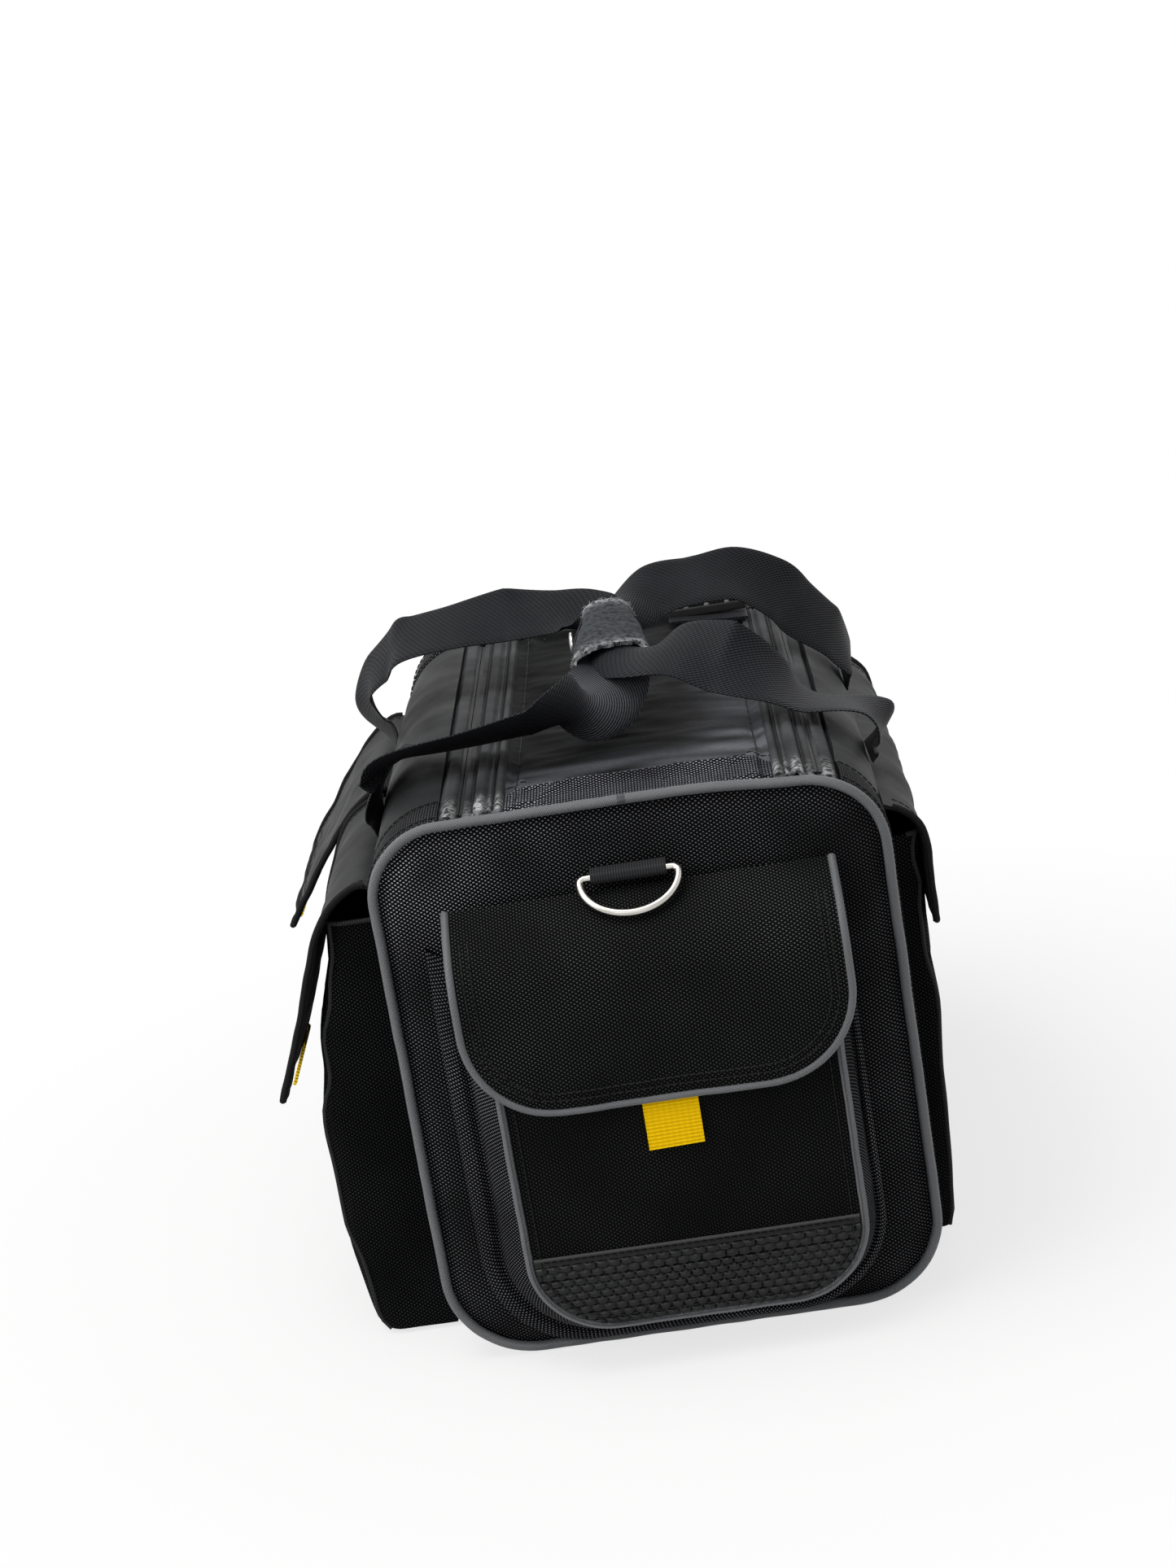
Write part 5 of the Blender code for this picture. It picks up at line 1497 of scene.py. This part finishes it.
def buildStrap(label, route):
    rows = [np.concatenate([p, np.asarray(w, float) / np.linalg.norm(w), [curl]]) for p, w, curl in route]
    ends = [0, *creases[label], len(rows) - 1]
    runs = [smoothPath(rows[a:b + 1], web['steps'])[:-1] for a, b in zip(ends, ends[1:])]
    line = np.concatenate([*runs, [rows[-1]]])
    point, width, curl = line[:, :3], line[:, 3:6], line[:, 6]
    along = np.gradient(point, axis=0)
    along /= np.linalg.norm(along, axis=1, keepdims=True)
    width = width - along * np.sum(width * along, axis=1, keepdims=True)
    width /= np.linalg.norm(width, axis=1, keepdims=True)
    thick = np.cross(along, width)
    reach = reachOf(point)
    across = np.linspace(-1, 1, 17)
    body = np.clip((1 - np.abs(across)) * 9, 0.35, 1) * web['thick'] / 2  # thinner at the selvedges
    loops, uvs = [], []
    for i in range(len(point)):
        arc = curl[i] if abs(curl[i]) > 1e-3 else 1e-3
        out, rise = np.sin(arc * across) / arc, (np.cos(arc * across) - 1) / arc
        middle = point[i] + (np.outer(out, width[i]) + np.outer(rise, thick[i])) * web['width'] / 2
        lean = np.outer(np.sin(arc * across), width[i]) + np.outer(np.cos(arc * across), thick[i])
        over, under = middle + body[:, None] * lean, middle - body[:, None] * lean
        loops.append(np.concatenate([over, under[::-1]]))
        u = np.concatenate([across, across[::-1]]) * web['width'] / 2
        uvs.append(stacked(u, np.full(len(u), reach[i])))
    place = np.arange(len(point)) / web['steps']
    paintedShadeAndSheen = web['rearTone'] * smoothStep(10.5, 12.0, place)  # painted shade: the rear runs are darker
    # the left strap's roll gets a painted highlight
    if label == 'left':
        paintedShadeAndSheen = paintedShadeAndSheen + web['rollPaintedHighlight'] * np.exp(-(place - web['rollRow']) ** 2)
    wear = np.repeat(paintedShadeAndSheen[:, None], 2 * len(across), axis=1)
    piece = loopBody(label + 'Strap', loops, uvs, cloth['webbing'], wear=wear)
    x = -webSeat if label == 'left' else webSeat
    fold = (x, 0, bag['height'] - web['end'] + 0.004), (x, 0, bag['height'] + 0.003)
    bend(piece, label + '_handle', 'webbing', label + '_strap', fold=fold)


def buildWrap():  # a suede sheet bent round both straps, wide at its front mouth and narrow behind
    turns = np.radians(np.linspace(-28, 292, 150))
    ys = np.linspace(wrap['front'], wrap['rear'], 64)
    share = (ys - wrap['front']) / (wrap['rear'] - wrap['front'])
    ahead = (1 - share)[None, :]
    low = bag['height'] + wrap['low'] - wrap['wall']
    high = bag['height'] + wrap['high'] + wrap['wall']
    lift = high - wrap['slope'] * ahead - low
    half = wrap['half'] + wrap['wall'] - wrap['taper'] * smoothStep(0.15, 1.0, share)[None, :]
    grid = np.zeros((len(turns), len(ys), 3))
    cos, sin = np.cos(turns)[:, None], np.sin(turns)[:, None]
    grid[..., 0] = wrap['centre'] + half * np.sign(cos) * np.abs(cos) ** 0.8
    grid[..., 1] = ys[None, :]
    grid[..., 2] = low + lift / 2 + lift / 2 * np.sign(sin) * np.abs(sin) ** 0.8
    edge = np.exp(-share / 0.05) + np.exp(-(1 - share) / 0.05)
    along = np.arange(len(turns)) / (len(turns) - 1)
    lips = np.exp(-along / 0.04) + np.exp(-(1 - along) / 0.04)
    outward = -gridNormals(grid)
    crumpled = wrap['crumple'] * ripple(grid, 0.010, 121) + wrap['crease'] * ripple(grid, 0.004, 122)
    grid = grid + outward * crumpled[..., None]
    grid[..., 1] += wrap['ragged'] * ripple(grid * (1, 0, 1), 0.004, 123) * (edge[None, :] > 0.3)
    grid[..., 1] += wrap['lean'] * ahead * np.clip(sin, 0, 1) * smoothStep(-0.1, 0.9, cos)
    wear = np.clip(0.8 * edge[None, :] + 0.6 * lips[:, None] + 0.05, 0, 1)
    uv = stacked(*np.broadcast_arrays(along[:, None] * 0.1, ys[None, :]))
    piece = sheetBody('gripWrap', grid, wrap['thick'], uv, cloth['suede'], wear=wear)
    settle(piece, 'left_handle', 'grip_wrap', slot='suede')
    fray = [grid[2:-2, 0], grid[2:-2, -1], grid[0, 2:-2]]
    hair = capsule('frayShape', 0.00016, 0.0036, 4)
    hairs = repeatAlong('wrapFray', fray, hair, 0.0009, cloth['greyThread'], 0.9)
    bpy.data.objects.remove(hair)
    settle(hairs, 'left_handle', slot='suede')
    buildSnap(*grid[int(wrap['snapAt'] * len(turns)), len(ys) // 2])


def buildSnap(x, y, z):
    profile = [
        (0.0001, 0.0055), (0.0003, 0.0060), (0.0011, 0.0060), (0.0016, 0.0053), (0.0018, 0.0042),
        (0.0015, 0.0033), (0.0014, 0.0025), (0.0016, 0.0012), (0.0016, 0.0003),
    ]
    turns = np.linspace(0, 2 * math.pi, 36, endpoint=False)
    loops = [[(x - away - 0.0003, y + size * math.cos(t), z + size * math.sin(t)) for t in turns]
             for away, size in profile]
    piece = loopBody('wrapSnap', loops, np.zeros((len(profile), len(turns), 2)), cloth['snapMetal'])
    settle(piece, 'left_handle', 'wrap_snap', slot='nickel')


for label, route in handleRoutes().items():
    buildStrap(label, route)
buildWrap()
print('handles done')

for body, paths in seams.items():
    words = ''.join(word.capitalize() for word in body.split('_'))
    stitches = repeatAlong('stitches' + words, paths, stitchShape, sewing['pitch'], cloth['thread'])
    if body in folds:
        bend(stitches, body, 'webbing')
    else:
        settle(stitches, body, slot='webbing')
for spare in (stitchShape, toothShape):
    bpy.data.objects.remove(spare)
print('stitching done')


# Floor, light and camera

def seenDirectly(tree):  # 1 where a ray from the view arrives, also by way of a mirror or glass
    rays = put(tree, 'ShaderNodeLightPath').outputs
    relayed = calc(tree, 'MAXIMUM', rays['Is Glossy Ray'], rays['Is Transmission Ray'])
    return calc(tree, 'MAXIMUM', rays['Is Camera Ray'], relayed)


def buildStage():
    material, tree = newMaterial('pale floor', Base_Color=(0.75, 0.75, 0.75, 1), Roughness=0.9)[:2]
    corners = [(-4, -4, 0), (4, -4, 0), (4, 4, 0), (-4, 4, 0)]
    floor = addPiece('floor', corners, [(0, 1, 2, 3)], material)
    floor.location.z = -0.0005
    glow = put(tree, 'ShaderNodeEmission', {'Color': (1, 1, 1, 1), 'Strength': 1.0})
    apart = put(tree, 'ShaderNodeVectorMath', {0: objectPlace(tree)}, operation='LENGTH').outputs['Value']
    share = ranged(tree, apart, 0.20, 0.50, 0.74, 1.0)  # white further out, a soft shadow close by
    glowing = calc(tree, 'MULTIPLY', seenDirectly(tree), share)
    matt = tree.nodes['Principled BSDF'].outputs[0]
    both = put(tree, 'ShaderNodeMixShader', {0: glowing, 1: matt, 2: glow.outputs[0]})
    tree.links.new(both.outputs[0], tree.nodes['Material Output'].inputs['Surface'])
    world = bpy.context.scene.world or bpy.data.worlds.new('studio')
    bpy.context.scene.world = world
    world.use_nodes = True
    sky = world.node_tree
    plain = sky.nodes['Background']
    plain.inputs['Color'].default_value = (1, 1, 1, 1)
    sky.links.new(ranged(sky, seenDirectly(sky), 0.0, 1.0, 0.30, 1.0), plain.inputs['Strength'])


def addLamp(name, place, target, size, power, colour=(1, 1, 1)):
    lamp = bpy.data.lights.new(name, 'AREA')
    lamp.shape = 'RECTANGLE'
    lamp.size, lamp.size_y = size
    lamp.energy = power
    lamp.color = colour
    holder = bpy.data.objects.new(name, lamp)
    holder.location = place
    holder.rotation_euler = (Vector(target) - Vector(place)).to_track_quat('-Z', 'Y').to_euler()
    bpy.context.scene.collection.objects.link(holder)


# The view: solved from the rim's and flap's corners in the photograph
view = {
    'focal': 3500.0, 'frame': 1927.0, 'azimuth': -2.79, 'elevation': 16.87, 'roll': -9.49,
    'place': (0.047, -1.377, 0.635),
}


def addCamera():
    az, el, roll = (math.radians(view[k]) for k in ('azimuth', 'elevation', 'roll'))
    forward = Vector((math.sin(az) * math.cos(el), math.cos(az) * math.cos(el), -math.sin(el)))
    level = Vector((math.cos(az), -math.sin(az), 0))
    above = level.cross(forward)
    right = math.cos(roll) * level + math.sin(roll) * above
    up = math.cos(roll) * above - math.sin(roll) * level
    lens = bpy.data.cameras.new('photo view')
    lens.sensor_fit = 'AUTO'
    lens.sensor_width = 36.0
    lens.lens = view['focal'] * lens.sensor_width / view['frame']
    camera = bpy.data.objects.new('photo view', lens)
    turn = Matrix((right, up, -forward)).transposed()
    camera.matrix_world = Matrix.Translation(view['place']) @ turn.to_4x4()
    bpy.context.scene.collection.objects.link(camera)
    bpy.context.scene.camera = camera


buildStage()
addLamp('overhead', (-0.45, -0.30, 1.60), (0, 0, 0.15), (1.1, 1.0), 19, (1.0, 0.99, 0.97))
addLamp('left key', (-1.5, -1.0, 1.2), (0, -0.05, 0.18), (0.8, 0.8), 12, (1.0, 0.99, 0.98))
addLamp('front fill', (-0.2, -2.0, 1.1), (0, 0, 0.15), (1.2, 1.0), 3, (0.96, 0.98, 1.0))
addLamp('rear fill', (0.5, 1.9, 1.3), (0, 0, 0.15), (1.0, 1.0), 5)
addLamp('right rim', (1.6, 0.2, 1.0), (0, 0, 0.15), (0.9, 0.9), 2.5)
addCamera()
bpy.context.scene.view_settings.view_transform = 'Standard'
